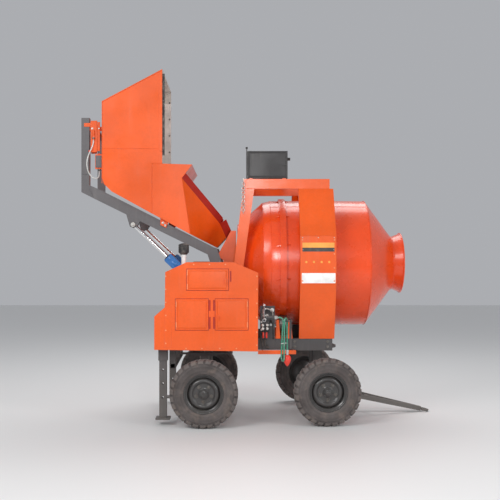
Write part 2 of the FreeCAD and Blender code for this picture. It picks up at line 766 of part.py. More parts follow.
def side_panel(doors):
    """Housing panel as a tray with a turned-in edge, and door openings on one side."""
    points = cover_outline()
    y0 = -cover_outer_y
    tray = prism_y(points, y0, y0 + cover_depth)
    hollow = prism_y(inset(points, panel_sheet), y0 + panel_sheet, y0 + cover_depth + 1)
    shape = tray.cut(hollow)
    if doors:
        x, y = precleaner_place
        shape = shape.cut(rod(precleaner_pipe_radius + 1, (x, y, 1600), (x, y, 1900)))
        for x0, x1, z0, z1 in (upper_door_box, left_door_box, right_door_box):
            margin = 14.0
            shape = shape.cut(box(x0 + margin, x1 - margin, y0 - 1, y0 + panel_sheet + 1,
                                  z0 + margin, z1 - margin))
    step = box(-45, 369, -rail_outer_y - 78, -rail_outer_y - 60, 768, 811)
    hangers = [box(x, x + 10, -rail_outer_y - 60, -rail_outer_y, 790, 811) for x in (0, 340)]
    stays = [box(x, x + 40, -cover_outer_y + cover_depth, -rail_outer_y, 850, 862)
             for x in (-900, -300)]
    return [shape, fuse([step] + hangers)] + stays


def door(limits, hinge_side):
    """A raised door with bevelled edges and two hinge knuckles."""
    x0, x1, z0, z1 = limits
    y = -cover_outer_y
    rise, bevel = 14.0, 9.0
    outer = Part.makePolygon([Vec(x, y, z) for x, z in
                              ((x0, z0), (x1, z0), (x1, z1), (x0, z1), (x0, z0))])
    top = Part.makePolygon([Vec(x, y - rise, z) for x, z in
                            ((x0 + bevel, z0 + bevel), (x1 - bevel, z0 + bevel),
                             (x1 - bevel, z1 - bevel), (x0 + bevel, z1 - bevel),
                             (x0 + bevel, z0 + bevel))])
    leaf = Part.makeLoft([outer, top], True, True)
    leaf.translate(Vec(0, -0.5, 0))
    hollow = box(x0 + 16, x1 - 16, y - rise + 3.5, y + 5, z0 + 16, z1 - 16)
    leaf = leaf.cut(hollow)
    hx = x0 - 7 if hinge_side < 0 else x1 + 7
    knuckles = []
    for z in (z0 + 0.16 * (z1 - z0), z1 - 0.16 * (z1 - z0)):
        knuckles.append(rod(6, (hx, y - 7, z - 22), (hx, y - 7, z + 22)))
        tab = (hx, x0 + 14) if hinge_side < 0 else (x1 - 14, hx)
        knuckles.append(box(tab[0], tab[1], y - 11, y - 7, z - 20, z + 20))
    return fuse([leaf] + knuckles)


def latch(x, z, length):
    """A turning handle on a round boss."""
    y = -cover_outer_y - 15
    boss = rod(13, (x, y, z), (x, y - 10, z))
    grip = box(x - 8, x + 8, y - 22, y - 10, z - length, z + 10)
    return fuse([boss, grip])


def engine_hood():
    """Inner hood over the engine, with sloping front, between the hopper arms."""
    points = [(-1049, rail_top), (-770, 1545), (-440, 1545), (-440, rail_top)]
    outer = prism_y(points, -hood_half_width, hood_half_width)
    hollow = prism_y(inset(points, panel_sheet), -hood_half_width + panel_sheet,
                     hood_half_width - panel_sheet)
    shape = outer.cut(hollow)
    shape = shape.cut(box(-1045, -444, -hood_half_width + 4, hood_half_width - 4,
                          rail_top - 1, rail_top + panel_sheet + 1))
    for i in range(6):
        z = 1000 + i * 55
        for side in (-1, 1):
            y = side * hood_half_width
            shape = shape.cut(box(-820, -560, y - 6, y + 6, z, z + 22))
    return shape


def engine():
    """Diesel engine: block, head, sump, flywheel housing, fan and hydraulic pump."""
    x, z = -700.0, 1000.0
    block = box(x - 110, x + 110, -240, 170, z, z + 230)
    head = box(x - 90, x + 90, -230, 160, z + 230, z + 330)
    sump = prism_y([(x - 105, z), (x + 105, z), (x + 70, z - 110), (x - 70, z - 110)], -220, 150)
    bell = rod(190, (x, 170, z + 100), (x, 215, z + 100))
    pump = box(x - 60, x + 60, 215, 350, z + 40, z + 160)
    fan = rod(150, (x, -285, z + 150), (x, -250, z + 150))
    fan_shaft = rod(25, (x, -260, z + 150), (x, -235, z + 150))
    rocker = [box(x - 60, x + 60, y0, y0 + 110, z + 330, z + 375) for y0 in (-215, -90, 35)]
    mounts = [box(x - 140, x + 140, -270, -225, engine_bearer_top, z + 20),
              box(x - 140, x + 140, 160, 256, engine_bearer_top, z + 20)]
    manifold = rod(28, (x + 105, -200, z + 280), (x + 105, 140, z + 280))
    return fuse([block, head, sump, bell, pump, fan, fan_shaft, manifold] + rocker + mounts)


def engine_bearers():
    """Two bars that carry the engine, from the tower cross bar to the low front beam."""
    made = []
    for y0 in engine_bearer_ys:
        bar = box(front_beam_x, lift_base_x - 40, y0, y0 + 40, rail_top, engine_bearer_top)
        leg = box(front_beam_x, front_beam_x + 50, y0, y0 + 40,
                  front_beam_z + front_beam_side, rail_top)
        made.append(fuse([bar, leg]))
    return made


def precleaner():
    """Air pipe through the housing top with a ribbed bowl and cap."""
    x, y = precleaner_place
    pipe = rod(precleaner_pipe_radius, (x, y, 1500), (x, y, 1868))
    bowl = rod(52, (x, y, 1868), (x, y, 1962))
    for i in range(10):
        slot = box(46, 60, -6, 6, 1878, 1952)
        slot = turned(slot, (0, 0, 0), (0, 0, 1), 36 * i)
        slot.translate(Vec(x, y, 0))
        bowl = bowl.cut(slot)
    cap = Part.makeCone(60, 44, 16, Vec(x, y, 1962), Vec(0, 0, 1))
    return [pipe, fuse([bowl, cap])]


def tanks():
    """Fuel tank and hydraulic oil tank behind the side panels."""
    fuel = box(-1000, -560, 722, 880, 880, 1240)
    fuel = fuel.makeFillet(25, fuel.Edges)
    oil = box(-380, -80, -880, -722, 880, 1000)
    oil = oil.makeFillet(18, oil.Edges)
    cap = rod(35, (-700, 800, 1236), (-700, 800, 1275))
    return [fuse([fuel, cap]), oil]


def valve_block():
    """Control valve bank with ports, the hose elbow and the hose hook, on stands by the rail."""
    y0, y1 = -rail_outer_y - 95, -rail_outer_y - 10
    stand = box(-20, 140, y1, -rail_outer_y, 815, 1290)
    body = box(-15, 75, y0, y1, 1030, 1210)
    spools = [rod(14, (x, y0 - 22, z), (x, y0, z)) for x in (5, 55) for z in (1050, 1088)]
    outlet = [rod(15, (60, y0, hose_route[0][2]), (60, hose_route[0][1], hose_route[0][2])),
              rod(15, (45, hose_route[0][1], hose_route[0][2]), hose_route[0])]
    stems = [rod(7, (x, y0 + 25, 940), (x, y0 + 25, 1030)) for x in (12, 48)]
    pivot = rod(11, (lever_x, y0 - 26, lever_z), (lever_x, y0, lever_z))
    hook = [box(300, 325, -rail_outer_y - 12, -rail_outer_y, 815, hook_z + 8),
            rod(8, (312, -rail_outer_y - 6, hook_z), (312, hose_fold_y - 12, hook_z)),
            rod(8, (312, hose_fold_y - 12, hook_z), (224, hose_fold_y + 8, hook_z))]
    return [fuse([stand, body] + spools + outlet + stems + [pivot]), fuse(hook)]


def drum_lever():
    """Chrome lever with its grip, on the valve bank's pivot."""
    y = -rail_outer_y - 95 - 14
    hub = tube(20, 11 + hinge_clearance, (lever_x, y - 8, lever_z), (lever_x, y + 8, lever_z))
    stick = rod(7, (lever_x, y, lever_z + 16), (lever_x, y, lever_z + 155))
    grip = Part.makeSphere(17, Vec(lever_x, y, lever_z + 165))
    return fuse([hub, stick, grip])


def smooth_path(points):
    """Straight runs joined by tangent arcs, each as large as its two runs allow."""
    points = [Vec(*p) for p in points]
    edges = []
    start = points[0]
    for i in range(1, len(points) - 1):
        before, here, after = points[i - 1], points[i], points[i + 1]
        run_in, run_out = here.sub(before), after.sub(here)
        turn = run_in.getAngle(run_out)
        reach = 0.45 * min(run_in.Length, run_out.Length)
        radius = reach / math.tan(turn / 2)
        print("bend radius", round(radius, 1))
        entry = here.sub(run_in.normalize() * reach)
        leave = here.add(run_out.normalize() * reach)
        middle = here.add(entry.sub(here).add(leave.sub(here)).normalize()
                          * (radius / math.cos(turn / 2) - radius))
        edges.append(Part.LineSegment(start, entry).toShape())
        edges.append(Part.Arc(entry, middle, leave).toShape())
        start = leave
    edges.append(Part.LineSegment(start, points[-1]).toShape())
    return Part.Wire(edges)


def cord_tube(points, diameter):
    """A round cord along a route."""
    path = smooth_path(points)
    first, second = Vec(*points[0]), Vec(*points[1])
    ring = Part.Wire([Part.makeCircle(diameter / 2, first, second.sub(first))])
    shape = path.makePipeShell([ring], True, False, 2)
    print("cord length", round(path.Length, 1), "volume share",
          round(shape.Volume / (math.pi * diameter ** 2 / 4 * path.Length), 4))
    return shape


def hose_nozzle():
    """Pale neck and bulb-shaped spray nozzle on the end of the wash hose."""
    x, y, z = hose_route[-1]
    neck = rod(13, (x, y, z - 62), (x, y, z))
    profile = [(0, z - 180), (14, z - 178), (30, z - 155), (38, z - 125), (34, z - 95),
               (20, z - 70), (14, z - 60), (0, z - 60)]
    corners = [Vec(x + r, y, height) for r, height in profile]
    face = Part.Face(Part.makePolygon(corners + corners[:1]))
    bulb = face.revolve(Vec(x, y, 0), Vec(0, 0, 1), 360)
    return fuse([neck, bulb])


def safety_chain():
    """Hopper safety chain that hangs from a hook on the near beam."""
    x, y = beam_left_x + 2, -beam_outer_y - 24
    hook = fuse([rod(6, (x, -beam_outer_y, beam_top - 20), (x, y - 6, beam_top - 20)),
                 rod(6, (x, y - 6, beam_top - 20), (x, y - 6, beam_top + 6))])
    links = [hook]
    for i in range(15):
        z = beam_top - 26 - chain_link_radius + 5.8 - i * chain_pitch
        link = Part.makeTorus(chain_link_radius, chain_wire / 2, Vec(x, y, z),
                              Vec(1, 0, 0) if i % 2 == 0 else Vec(0, 1, 0))
        links.append(link)
    return links


def panel_screws():
    """Cap screws round the near and far housing panels and the gear guards."""
    spots = [(cover_left_x + 124, z) for z in (900, 1040, 1200, 1340, 1480, 1620)]
    spots += [(cover_right_x - 16, z) for z in (880, 1020, 1180, 1330, 1480, 1620)]
    spots += [(x, cover_top_z - 24) for x in (-740, -570, -400)]
    spots += [(x, cover_bottom_z + 14) for x in (-820, -650, -460, -280)]
    spots += [(guard_right_x - 22, z) for z in (1570, 1710, 1860, 2010)]
    spots += [(guard_left_x + 22, z) for z in (1570, 2010)]
    made = []
    for x, z in spots:
        head = rod(8, (x, -cover_outer_y - 5, z), (x, -cover_outer_y, z))
        made += both_sides(head)
    return made


def control_cabinet():
    """Electrical cabinet on the top frame, open at the near side for its door."""
    top = cabinet_bottom + cabinet_height
    outer = box(-160, 288, -590, -290, cabinet_bottom, top)
    hollow = box(-152, 280, -591, -298, cabinet_bottom + 8, top - 8)
    cabinet = outer.cut(hollow)
    post = box(-172, -160, -580, -540, cabinet_bottom, top + 26)
    lamp = Part.makeSphere(13, Vec(-166, -560, top + 37))
    plug = rod(17, (288, -440, cabinet_bottom + 230), (325, -440, cabinet_bottom + 230))
    return fuse([cabinet, post, lamp, plug])


def cabinet_door():
    """Hinged door of the control cabinet."""
    leaf = box(-156, 284, -608, -591, cabinet_bottom + 4, cabinet_bottom + cabinet_height - 4)
    knob_z = cabinet_bottom + 150
    knob = rod(12, (250, -622, knob_z), (250, -608, knob_z))
    return fuse([leaf, knob])


# ---------------------------------------------------------------- running gear
def wheel_profile(points, y_centre, side):
    """A ring about an axle along Y from (distance outwards, radius) points."""
    corners = [Vec(r, y_centre + side * d, 0) for d, r in points]
    face = Part.Face(Part.makePolygon(corners + corners[:1]))
    return face.revolve(Vec(0, 0, 0), Vec(0, 1, 0), 360)


def wheel_rim(x, y, side):
    """Steel rim with its disc, hub and five nuts."""
    bore = spindle_radius + running_clearance
    barrel = [(-62, rim_radius - 3), (-62, rim_radius - 22), (-30, rim_radius - 38),
              (40, rim_radius - 38), (62, rim_radius - 22), (62, rim_radius - 3),
              (54, rim_radius - 3), (50, rim_radius - 14), (34, rim_radius - 30),
              (-24, rim_radius - 30), (-50, rim_radius - 14), (-54, rim_radius - 3)]
    disc = [(18, rim_radius - 32), (26, rim_radius - 32), (34, 128), (22, 112), (22, 50),
            (14, 50), (14, 112), (24, 128)]
    hub = [(-50, 46), (48, 46), (54, 40), (54, bore), (-50, bore)]
    plate = [(14, 44), (22, 44), (22, 52), (14, 52)]
    body = fuse([wheel_profile(p, y, side) for p in (barrel, disc, hub, plate)])
    nuts = []
    for i in range(5):
        angle = math.radians(90 + 72 * i)
        px, pz = 86 * math.cos(angle), 86 * math.sin(angle)
        outer = y + side * 44
        nuts.append(rod(13, (px, y + side * 20, pz), (px, outer, pz)))
    shape = fuse([body] + nuts)
    shape.translate(Vec(x, 0, tyre_radius))
    return shape


def wheel_tyre(x, y, side):
    """Tyre with rounded shoulders."""
    half = tyre_width / 2
    seat = rim_radius - 3
    points = [(-54, seat), (-half + 10, seat + 20), (-half, seat + 70), (-half + 6, tyre_radius - 36),
              (-half + 22, tyre_radius - 8), (-half + 40, tyre_radius), (half - 40, tyre_radius),
              (half - 22, tyre_radius - 8), (half - 6, tyre_radius - 36), (half, seat + 70),
              (half - 10, seat + 20), (54, seat), (50, seat - 11), (34, seat - 27),
              (-24, seat - 27), (-50, seat - 11)]
    shape = wheel_profile(points, y, side)
    shape.translate(Vec(x, 0, tyre_radius))
    return shape


def fixed_axle():
    """Axle beam with spindles and leaf springs under the rails."""
    half = fixed_track / 2
    beam = box(fixed_axle_x - 35, fixed_axle_x + 35, -half + 90, half - 90,
               tyre_radius - 35, tyre_radius + 35)
    pins = [rod(spindle_radius, (fixed_axle_x, side * (half - 95), tyre_radius),
                (fixed_axle_x, side * (half + 52), tyre_radius)) for side in (-1, 1)]
    pieces = [fuse([beam] + pins)]
    spring_y = rail_outer_y - rail_flange / 2
    for side in (-1, 1):
        y = side * spring_y
        leaves = []
        for i in range(4):
            reach = 308 - 58 * i
            z0 = rail_top - rail_height - 32 - 9 * (i + 1)
            leaves.append(box(fixed_axle_x - reach, fixed_axle_x + reach, y - 28, y + 28, z0, z0 + 9))
        saddle = box(fixed_axle_x - 45, fixed_axle_x + 45, y - 34, y + 34, tyre_radius + 35,
                     rail_top - rail_height - 68)
        ends = [box(fixed_axle_x + e - 18, fixed_axle_x + e + 18, y - 30, y + 30,
                    rail_top - rail_height - 32, rail_top - rail_height) for e in (-290, 290)]
        pieces.append(fuse(leaves + [saddle] + ends))
    return pieces


def steer(shape):
    """Turn a steering part to the angle that the axle stands at."""
    return turned(shape, (steer_axle_x, 0, 0), (0, 0, 1), steer_rest_yaw)


def steer_axle():
    """Moving half of the turntable, pedestal, axle beam and drawbar lugs."""
    x = steer_axle_x
    top = rail_top - rail_height - 20 - turntable_gap
    disc = rod(turntable_radius, (x, 0, top - 12), (x, 0, top))
    column = [rod(55, (x, 0, tyre_radius + 35), (x, 0, top - 12))]
    column += [prism_x([(180 * s, tyre_radius + 35), (120 * s, tyre_radius + 35),
                        (150 * s, top - 12), (210 * s, top - 12)], x - 45, x + 45)
               for s in (-1, 1)]
    half = steer_track / 2
    beam = box(x - 35, x + 35, -half + 90, half - 90, tyre_radius - 35, tyre_radius + 35)
    pins = [rod(spindle_radius, (x, side * (half - 95), tyre_radius),
                (x, side * (half + 52), tyre_radius)) for side in (-1, 1)]
    lugs = []
    hinge_x = x + drawbar_hinge_x
    for y in (-262, -199, 187, 250):
        lug = prism_y([(x - 35, tyre_radius + 35), (x - 35, tyre_radius - 60), (hinge_x, 268),
                       (hinge_x + 32, 290), (hinge_x + 30, 325), (x + 40, tyre_radius + 35)],
                      y, y + 12)
        lugs.append(lug)
    pin_holes = rod(16, (hinge_x, -300, drawbar_hinge_z), (hinge_x, 300, drawbar_hinge_z))
    shape = fuse([disc, beam] + column + pins + lugs).cut(pin_holes)
    bolts = [rod(16, (hinge_x, y0, drawbar_hinge_z), (hinge_x, y0 + 79, drawbar_hinge_z))
             for y0 in (-266, 187)]
    shape = fuse([shape] + bolts)
    hole = rod(spindle_radius + running_clearance, (x, 0, top - 120), (x, 0, top + 1))
    return steer(shape.cut(hole))


def drawbar_pitch():
    """Downward angle that lets the tow eye lie on the ground."""
    drop = drawbar_hinge_z - ground_gap
    reach = drawbar_reach_for(0.0)
    angle = 0.0
    for _ in range(20):
        low = tow_eye_thickness / 2 * math.cos(angle) + tow_eye_radius * math.sin(angle)
        angle = math.asin((drop - low) / reach)
        reach = drawbar_reach_for(angle)
    return math.degrees(angle)


def drawbar_reach_for(angle):
    """Hinge to tow-eye centre, so that the eye ends at half the overall length."""
    yaw = math.radians(steer_rest_yaw)
    tilt = math.sin(angle) * math.cos(yaw)
    eye = tow_eye_radius * math.sqrt(1 - tilt ** 2) + tow_eye_thickness / 2 * tilt
    plan = (overall_length / 2 - steer_axle_x - eye) / math.cos(yaw) - drawbar_hinge_x
    return plan / math.cos(angle)


def drawbar():
    """A-frame drawbar with hinge eyes and the tow eye."""
    pitch = drawbar_pitch()
    reach = drawbar_reach_for(math.radians(pitch))
    half = drawbar_section / 2
    foot_y, tip_y = 228.0, 36.0
    leg = prism_z([(0, foot_y - half + 6), (0, foot_y + half - 6), (reach - 130, tip_y + 12),
                   (reach - 130, tip_y - 36)], -half, half)
    legs = [leg, mirror_y(leg)]
    head = prism_z([(reach - 140, -48), (reach - 140, 48), (reach - 45, 26), (reach - 45, -26)],
                   -half, half)
    brace_x = 0.42 * reach
    brace_y = foot_y - (foot_y - tip_y) * 0.42
    brace = box(brace_x - 22, brace_x + 22, -brace_y, brace_y, -14, 14)
    eye = rod(tow_eye_radius, (reach, 0, -tow_eye_thickness / 2), (reach, 0, tow_eye_thickness / 2))
    eyes = [rod(32, (0, y - 17, 0), (0, y + 17, 0)) for y in (-228, 228)]
    shape = fuse(legs + [head, brace, eye] + eyes)
    shape = shape.cut(rod(tow_eye_hole, (reach, 0, -40), (reach, 0, 40)))
    shape = shape.cut(rod(16 + running_clearance, (0, -300, 0), (0, 300, 0)))
    shape = turned(shape, (0, 0, 0), (0, 1, 0), pitch)
    shape.translate(Vec(steer_axle_x + drawbar_hinge_x, 0, drawbar_hinge_z))
    return steer(shape)


# ---------------------------------------------------------------- jacks, hose, small parts
def jack_sleeves():
    """Square sleeves bolted to the rails, with a plate to each rail."""
    half = leg_side / 2 + 0.5
    outer = half + sleeve_wall
    shape = box(leg_x - outer, leg_x + outer, -leg_y - outer, -leg_y + outer, 700, rail_top)
    shape = shape.cut(box(leg_x - half, leg_x + half, -leg_y - half, -leg_y + half, 690, rail_top + 9))
    link = box(leg_x + outer, rail_left_x + 120, -rail_outer_y - 12, -rail_outer_y, 815, 925)
    tie = box(leg_x - outer, leg_x + outer + 10, -rail_outer_y - 12, -rail_outer_y + 6, 815, 925)
    tie = tie.cut(box(leg_x - half, leg_x + half, -leg_y - half, -leg_y + half, 690, rail_top + 9))
    return both_sides(fuse([shape, link, tie]))


def jack_leg():
    """Square leg with pin holes and its foot plate."""
    half = leg_side / 2
    shape = box(leg_x - half, leg_x + half, -leg_y - half, -leg_y + half, leg_foot_z + 20, 1060)
    wall = 7.0
    shape = shape.cut(box(leg_x - half + wall, leg_x + half - wall, -leg_y - half + wall,
                          -leg_y + half - wall, leg_foot_z + 20, 1061))
    for z in (300, 450, 600):
        shape = shape.cut(rod(12, (leg_x, -leg_y - 60, z), (leg_x, -leg_y + 60, z)))
    foot = box(leg_x - 78, leg_x + 78, -leg_y - 78, -leg_y + 78, leg_foot_z, leg_foot_z + 20)
    return fuse([shape, foot])


def main():
    """Build every sub-part and write it."""
    os.makedirs("parts", exist_ok=True)
    export("chassis_rails", chassis_rails())
    export("cross_members", cross_members() + [kingpin()] + engine_bearers())
    export("hopper_towers", hopper_towers())
    export("top_frame", top_frame())
    export("gear_guards", gear_guards())
    export("inlet_chute", inlet_chute())
    export("side_panel_near", side_panel(True))
    export("side_panel_far", [mirror_y(shape) for shape in side_panel(False)])
    export("engine_hood", engine_hood())
    export("engine", engine())
    export("precleaner", precleaner())
    export("tanks", tanks())
    export("valve_block", valve_block())
    export("drum_lever", drum_lever())
    export("wash_hose", cord_tube(hose_route, hose_diameter))
    export("hose_nozzle", hose_nozzle())
    export("hopper_cable", cord_tube(cable_route, cable_diameter))
    export("safety_chain", safety_chain())
    export("panel_screws", panel_screws())
    export("roller_brackets", roller_brackets())
    export("drum_motor", drum_motor())
    export("control_cabinet", control_cabinet())
    export("cabinet_door", cabinet_door())
    export("fixed_axle", fixed_axle())
    export("jack_sleeves", jack_sleeves())
    leg = jack_leg()
    export("jack_leg_near", leg)
    export("jack_leg_far", mirror_y(leg))
    export("upper_door", door(upper_door_box, -1))
    export("lower_door_left", door(left_door_box, -1))
    export("lower_door_right", door(right_door_box, 1))
    export("upper_door_latch", latch(upper_door_box[1] - 30, 1580, 40))
    export("lower_door_latch", latch(right_door_box[0] + 30, 1190, 40))
    export("drum_shell", drum_shell())
    export("mixing_blades", mixing_blades())
    export("ring_gear", ring_gear())
    export("track_rings", track_rings())
    export("pinion", pinion())
    for end, x in zip(("feed", "mouth"), track_ring_xs):
        export("roller_" + end + "_near", roller(x, -1))
        export("roller_" + end + "_far", roller(x, 1))
    export("hopper_arms", hopper_arms())
    export("hopper_bucket", hopper_bucket())
    export("hopper_spout", hopper_spout())
    export("mouth_strips", mouth_strips())
    export("load_cells", load_cells())
    barrel, piston_rod = place_lift(lift_barrel()), place_lift(lift_rod())
    export("lift_barrel_near", barrel)
    export("lift_barrel_far", mirror_y(barrel))
    export("lift_rod_near", piston_rod)
    export("lift_rod_far", mirror_y(piston_rod))
    export("steer_axle", steer_axle())
    export("drawbar", drawbar())
    for name, side in (("near", -1), ("far", 1)):
        y = side * fixed_track / 2
        export("fixed_rim_" + name, wheel_rim(fixed_axle_x, y, side))
        export("fixed_tyre_" + name, wheel_tyre(fixed_axle_x, y, side))
        y = side * steer_track / 2
        export("steer_rim_" + name, steer(wheel_rim(steer_axle_x, y, side)))
        export("steer_tyre_" + name, steer(wheel_tyre(steer_axle_x, y, side)))


main()
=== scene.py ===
"""Looks of a towable concrete mixer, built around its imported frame. Metres, +Z up."""
import json
import math

import bmesh
import bpy
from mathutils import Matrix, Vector


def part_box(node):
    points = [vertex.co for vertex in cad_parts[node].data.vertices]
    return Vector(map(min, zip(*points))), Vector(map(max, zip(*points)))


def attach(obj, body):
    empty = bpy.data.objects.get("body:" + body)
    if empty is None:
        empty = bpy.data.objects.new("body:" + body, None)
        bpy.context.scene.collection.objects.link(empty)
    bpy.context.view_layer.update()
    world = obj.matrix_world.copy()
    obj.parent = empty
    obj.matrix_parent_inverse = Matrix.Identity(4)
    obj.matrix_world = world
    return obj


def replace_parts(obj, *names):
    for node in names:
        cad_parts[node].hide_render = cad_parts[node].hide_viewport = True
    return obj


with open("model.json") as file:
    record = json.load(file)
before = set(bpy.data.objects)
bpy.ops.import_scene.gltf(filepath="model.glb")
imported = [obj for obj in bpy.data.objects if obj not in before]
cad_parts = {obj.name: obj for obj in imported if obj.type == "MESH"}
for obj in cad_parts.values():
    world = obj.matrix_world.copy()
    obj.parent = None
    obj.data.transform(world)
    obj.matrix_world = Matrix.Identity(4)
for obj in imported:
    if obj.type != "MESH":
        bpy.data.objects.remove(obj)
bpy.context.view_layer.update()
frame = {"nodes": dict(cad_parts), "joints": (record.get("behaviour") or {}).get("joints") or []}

nodes = frame["nodes"]
joint_of = {joint["child"]: joint for joint in frame["joints"]}
X, Y, Z = Vector((1, 0, 0)), Vector((0, 1, 0)), Vector((0, 0, 1))
MM = 0.001
UP_DRUM = 1.76                      # height of the drum axis
DRUM_CENTRE = Vector((0, 0, UP_DRUM))
PANEL_FACE = 0.9202                 # just outside the side panels and guards, both sides
SIDES = ((-1, "near"), (1, "far"))


def link(obj):
    bpy.context.scene.collection.objects.link(obj)


def turns(count, shift=0.0):
    """Angles of even steps round a circle."""
    return [2 * math.pi * (i + shift) / count for i in range(count)]


# ---------------------------------------------------------------- camera, floor and light
def set_camera():
    """A level camera on the near side, 9.5 m from the object."""
    bpy.context.scene.view_settings.view_transform = "Standard"
    camera = bpy.data.cameras.new("camera")
    camera.lens = 64.8
    camera.sensor_width = 36.0
    camera.shift_x, camera.shift_y = 0.028, 0.016
    eye = bpy.data.objects.new("camera", camera)
    eye.location = (-0.285, -10.58, 1.816)
    eye.rotation_euler = (math.radians(90), 0, 0)
    link(eye)
    bpy.context.scene.camera = eye


def area_light(name, place, target, size, power, colour=(1, 1, 1)):
    lamp = bpy.data.lights.new(name, "AREA")
    lamp.shape = "RECTANGLE"
    lamp.size, lamp.size_y = size
    lamp.energy = power
    lamp.color = colour
    obj = bpy.data.objects.new(name, lamp)
    obj.location = place
    obj.rotation_euler = (Vector(target) - Vector(place)).to_track_quat("-Z", "Y").to_euler()
    link(obj)


def set_light():
    """Soft studio light: a pale sky and four large lamps."""
    world = bpy.data.worlds.new("studio")
    bpy.context.scene.world = world
    world.use_nodes = True
    sky = world.node_tree.nodes["Background"]
    sky.inputs["Color"].default_value = (0.93, 0.95, 1.0, 1)
    sky.inputs["Strength"].default_value = 0.44
    area_light("key", (-5.5, -7.5, 6.5), (0, 0, 1.6), (4.5, 3.0), 385)
    area_light("side", (6.5, -6.5, 4.0), (0.3, 0, 1.4), (2.2, 4.5), 190)
    area_light("strip", (0.05, -7.5, 3.4), (0.05, 0, 1.8), (0.5, 1.6), 85)
    area_light("top", (0.5, 3.5, 7.5), (0, 0, 1.5), (5.0, 4.0), 230)


def set_floor():
    """A plain pale floor."""
    size = 24.0                     # half its width
    mesh = bpy.data.meshes.new("floor")
    corners = [(-size, -size, 0), (size, -size, 0), (size, size, 0), (-size, size, 0)]
    mesh.from_pydata(corners, [], [(0, 1, 2, 3)])
    floor = bpy.data.objects.new("floor", mesh)
    link(floor)
    mat = bpy.data.materials.new("studio_floor")
    mat.use_nodes = True
    shader = mat.node_tree.nodes["Principled BSDF"]
    shader.inputs["Base Color"].default_value = (0.8, 0.8, 0.79, 1)
    shader.inputs["Roughness"].default_value = 0.55
    mesh.materials.append(mat)


# ---------------------------------------------------------------- material building
class Shader:
    """A small wrapper that adds and links nodes of one material."""

    def __init__(self, name, metallic=0.0, coat=0.0, coat_rough=0.12, sheen=0.0):
        self.material = bpy.data.materials.new(name)
        self.material.use_nodes = True
        self.tree = self.material.node_tree
        self.main = self.tree.nodes["Principled BSDF"]
        self.main.inputs["Metallic"].default_value = metallic
        self.main.inputs["Coat Weight"].default_value = coat
        self.main.inputs["Coat Roughness"].default_value = coat_rough
        self.main.inputs["Sheen Weight"].default_value = sheen
        self.place = self.add("ShaderNodeTexCoord").outputs["Object"]
        self.facing = self.add("ShaderNodeTexCoord").outputs["Normal"]

    def add(self, kind, **settings):
        made = self.tree.nodes.new(kind)
        for key, value in settings.items():
            setattr(made, key, value)
        return made

    def put(self, socket, value):
        if isinstance(value, bpy.types.NodeSocket):
            self.tree.links.new(value, socket)
        else:
            socket.default_value = value

    def maths(self, operation, a, b=0.0, c=None):
        made = self.add("ShaderNodeMath", operation=operation)
        self.put(made.inputs[0], a)
        self.put(made.inputs[1], b)
        if c is not None:
            self.put(made.inputs[2], c)
        return made.outputs[0]

    def noise(self, scale, detail=3.0, rough=0.55, stretch=None, distortion=0.0):
        made = self.add("ShaderNodeTexNoise")
        made.inputs["Scale"].default_value = scale
        made.inputs["Detail"].default_value = detail
        made.inputs["Roughness"].default_value = rough
        made.inputs["Distortion"].default_value = distortion
        source = self.place
        if stretch:
            source = self.vector("MULTIPLY", self.place, stretch)
        self.put(made.inputs["Vector"], source)
        return made.outputs["Fac"]

    def vector(self, operation, a, b=None):
        made = self.add("ShaderNodeVectorMath", operation=operation)
        self.put(made.inputs[0], a)
        if b is not None:
            self.put(made.inputs[1], b)
        return made.outputs["Value"] if operation == "DOT_PRODUCT" else made.outputs["Vector"]

    def steps(self, value, low, high, to_low=0.0, to_high=1.0):
        made = self.add("ShaderNodeMapRange", interpolation_type="SMOOTHSTEP")
        self.put(made.inputs["Value"], value)
        limits = {"From Min": low, "From Max": high, "To Min": to_low, "To Max": to_high}
        for key, number in limits.items():
            made.inputs[key].default_value = number
        return made.outputs["Result"]

    def mix(self, amount, a, b):
        made = self.add("ShaderNodeMix", data_type="RGBA")
        self.put(made.inputs["Factor"], amount)
        self.put(made.inputs[6], a)
        self.put(made.inputs[7], b)
        return made.outputs[2]

    def times(self, a, b):
        return self.maths("MULTIPLY", a, b)

    def patches(self, noise, low, high, to_low=0.0, to_high=1.0):
        """Noise of (scale, detail), cut to soft patches."""
        return self.steps(self.noise(*noise), low, high, to_low, to_high)

    def separate(self, source):
        made = self.add("ShaderNodeSeparateXYZ")
        self.put(made.inputs[0], source)
        return made.outputs

    def bump(self, layers, rounding=0.0):
        """Stack (height, strength, distance) layers, on edges rounded by a radius."""
        normal = None
        if rounding:
            edge = self.add("ShaderNodeBevel", samples=4)
            edge.inputs["Radius"].default_value = rounding
            normal = edge.outputs["Normal"]
        for height, strength, distance in layers:
            made = self.add("ShaderNodeBump")
            made.inputs["Strength"].default_value = strength
            made.inputs["Distance"].default_value = distance
            self.put(made.inputs["Height"], height)
            if normal:
                self.put(made.inputs["Normal"], normal)
            normal = made.outputs["Normal"]
        if normal:
            self.put(self.main.inputs["Normal"], normal)

    def edges(self, radius, low=0.02, high=0.25):
        """How close a point is to an outer edge, from 0 to 1."""
        edge = self.add("ShaderNodeBevel", samples=4)
        edge.inputs["Radius"].default_value = radius
        true = self.add("ShaderNodeNewGeometry").outputs["Normal"]
        closeness = self.vector("DOT_PRODUCT", edge.outputs["Normal"], true)
        return self.steps(self.maths("SUBTRACT", 1.0, closeness), low, high)

    def finish(self, colour, rough):
        self.put(self.main.inputs["Base Color"], colour)
        self.put(self.main.inputs["Roughness"], rough)
        return self.material


def shade(colour, factor):
    """A lighter or darker tone of a colour."""
    return tuple(min(1.0, c * factor) for c in colour[:3]) + (1,)


DUST = (0.5, 0.44, 0.37, 1)
CEMENT = (0.7, 0.64, 0.57, 1)


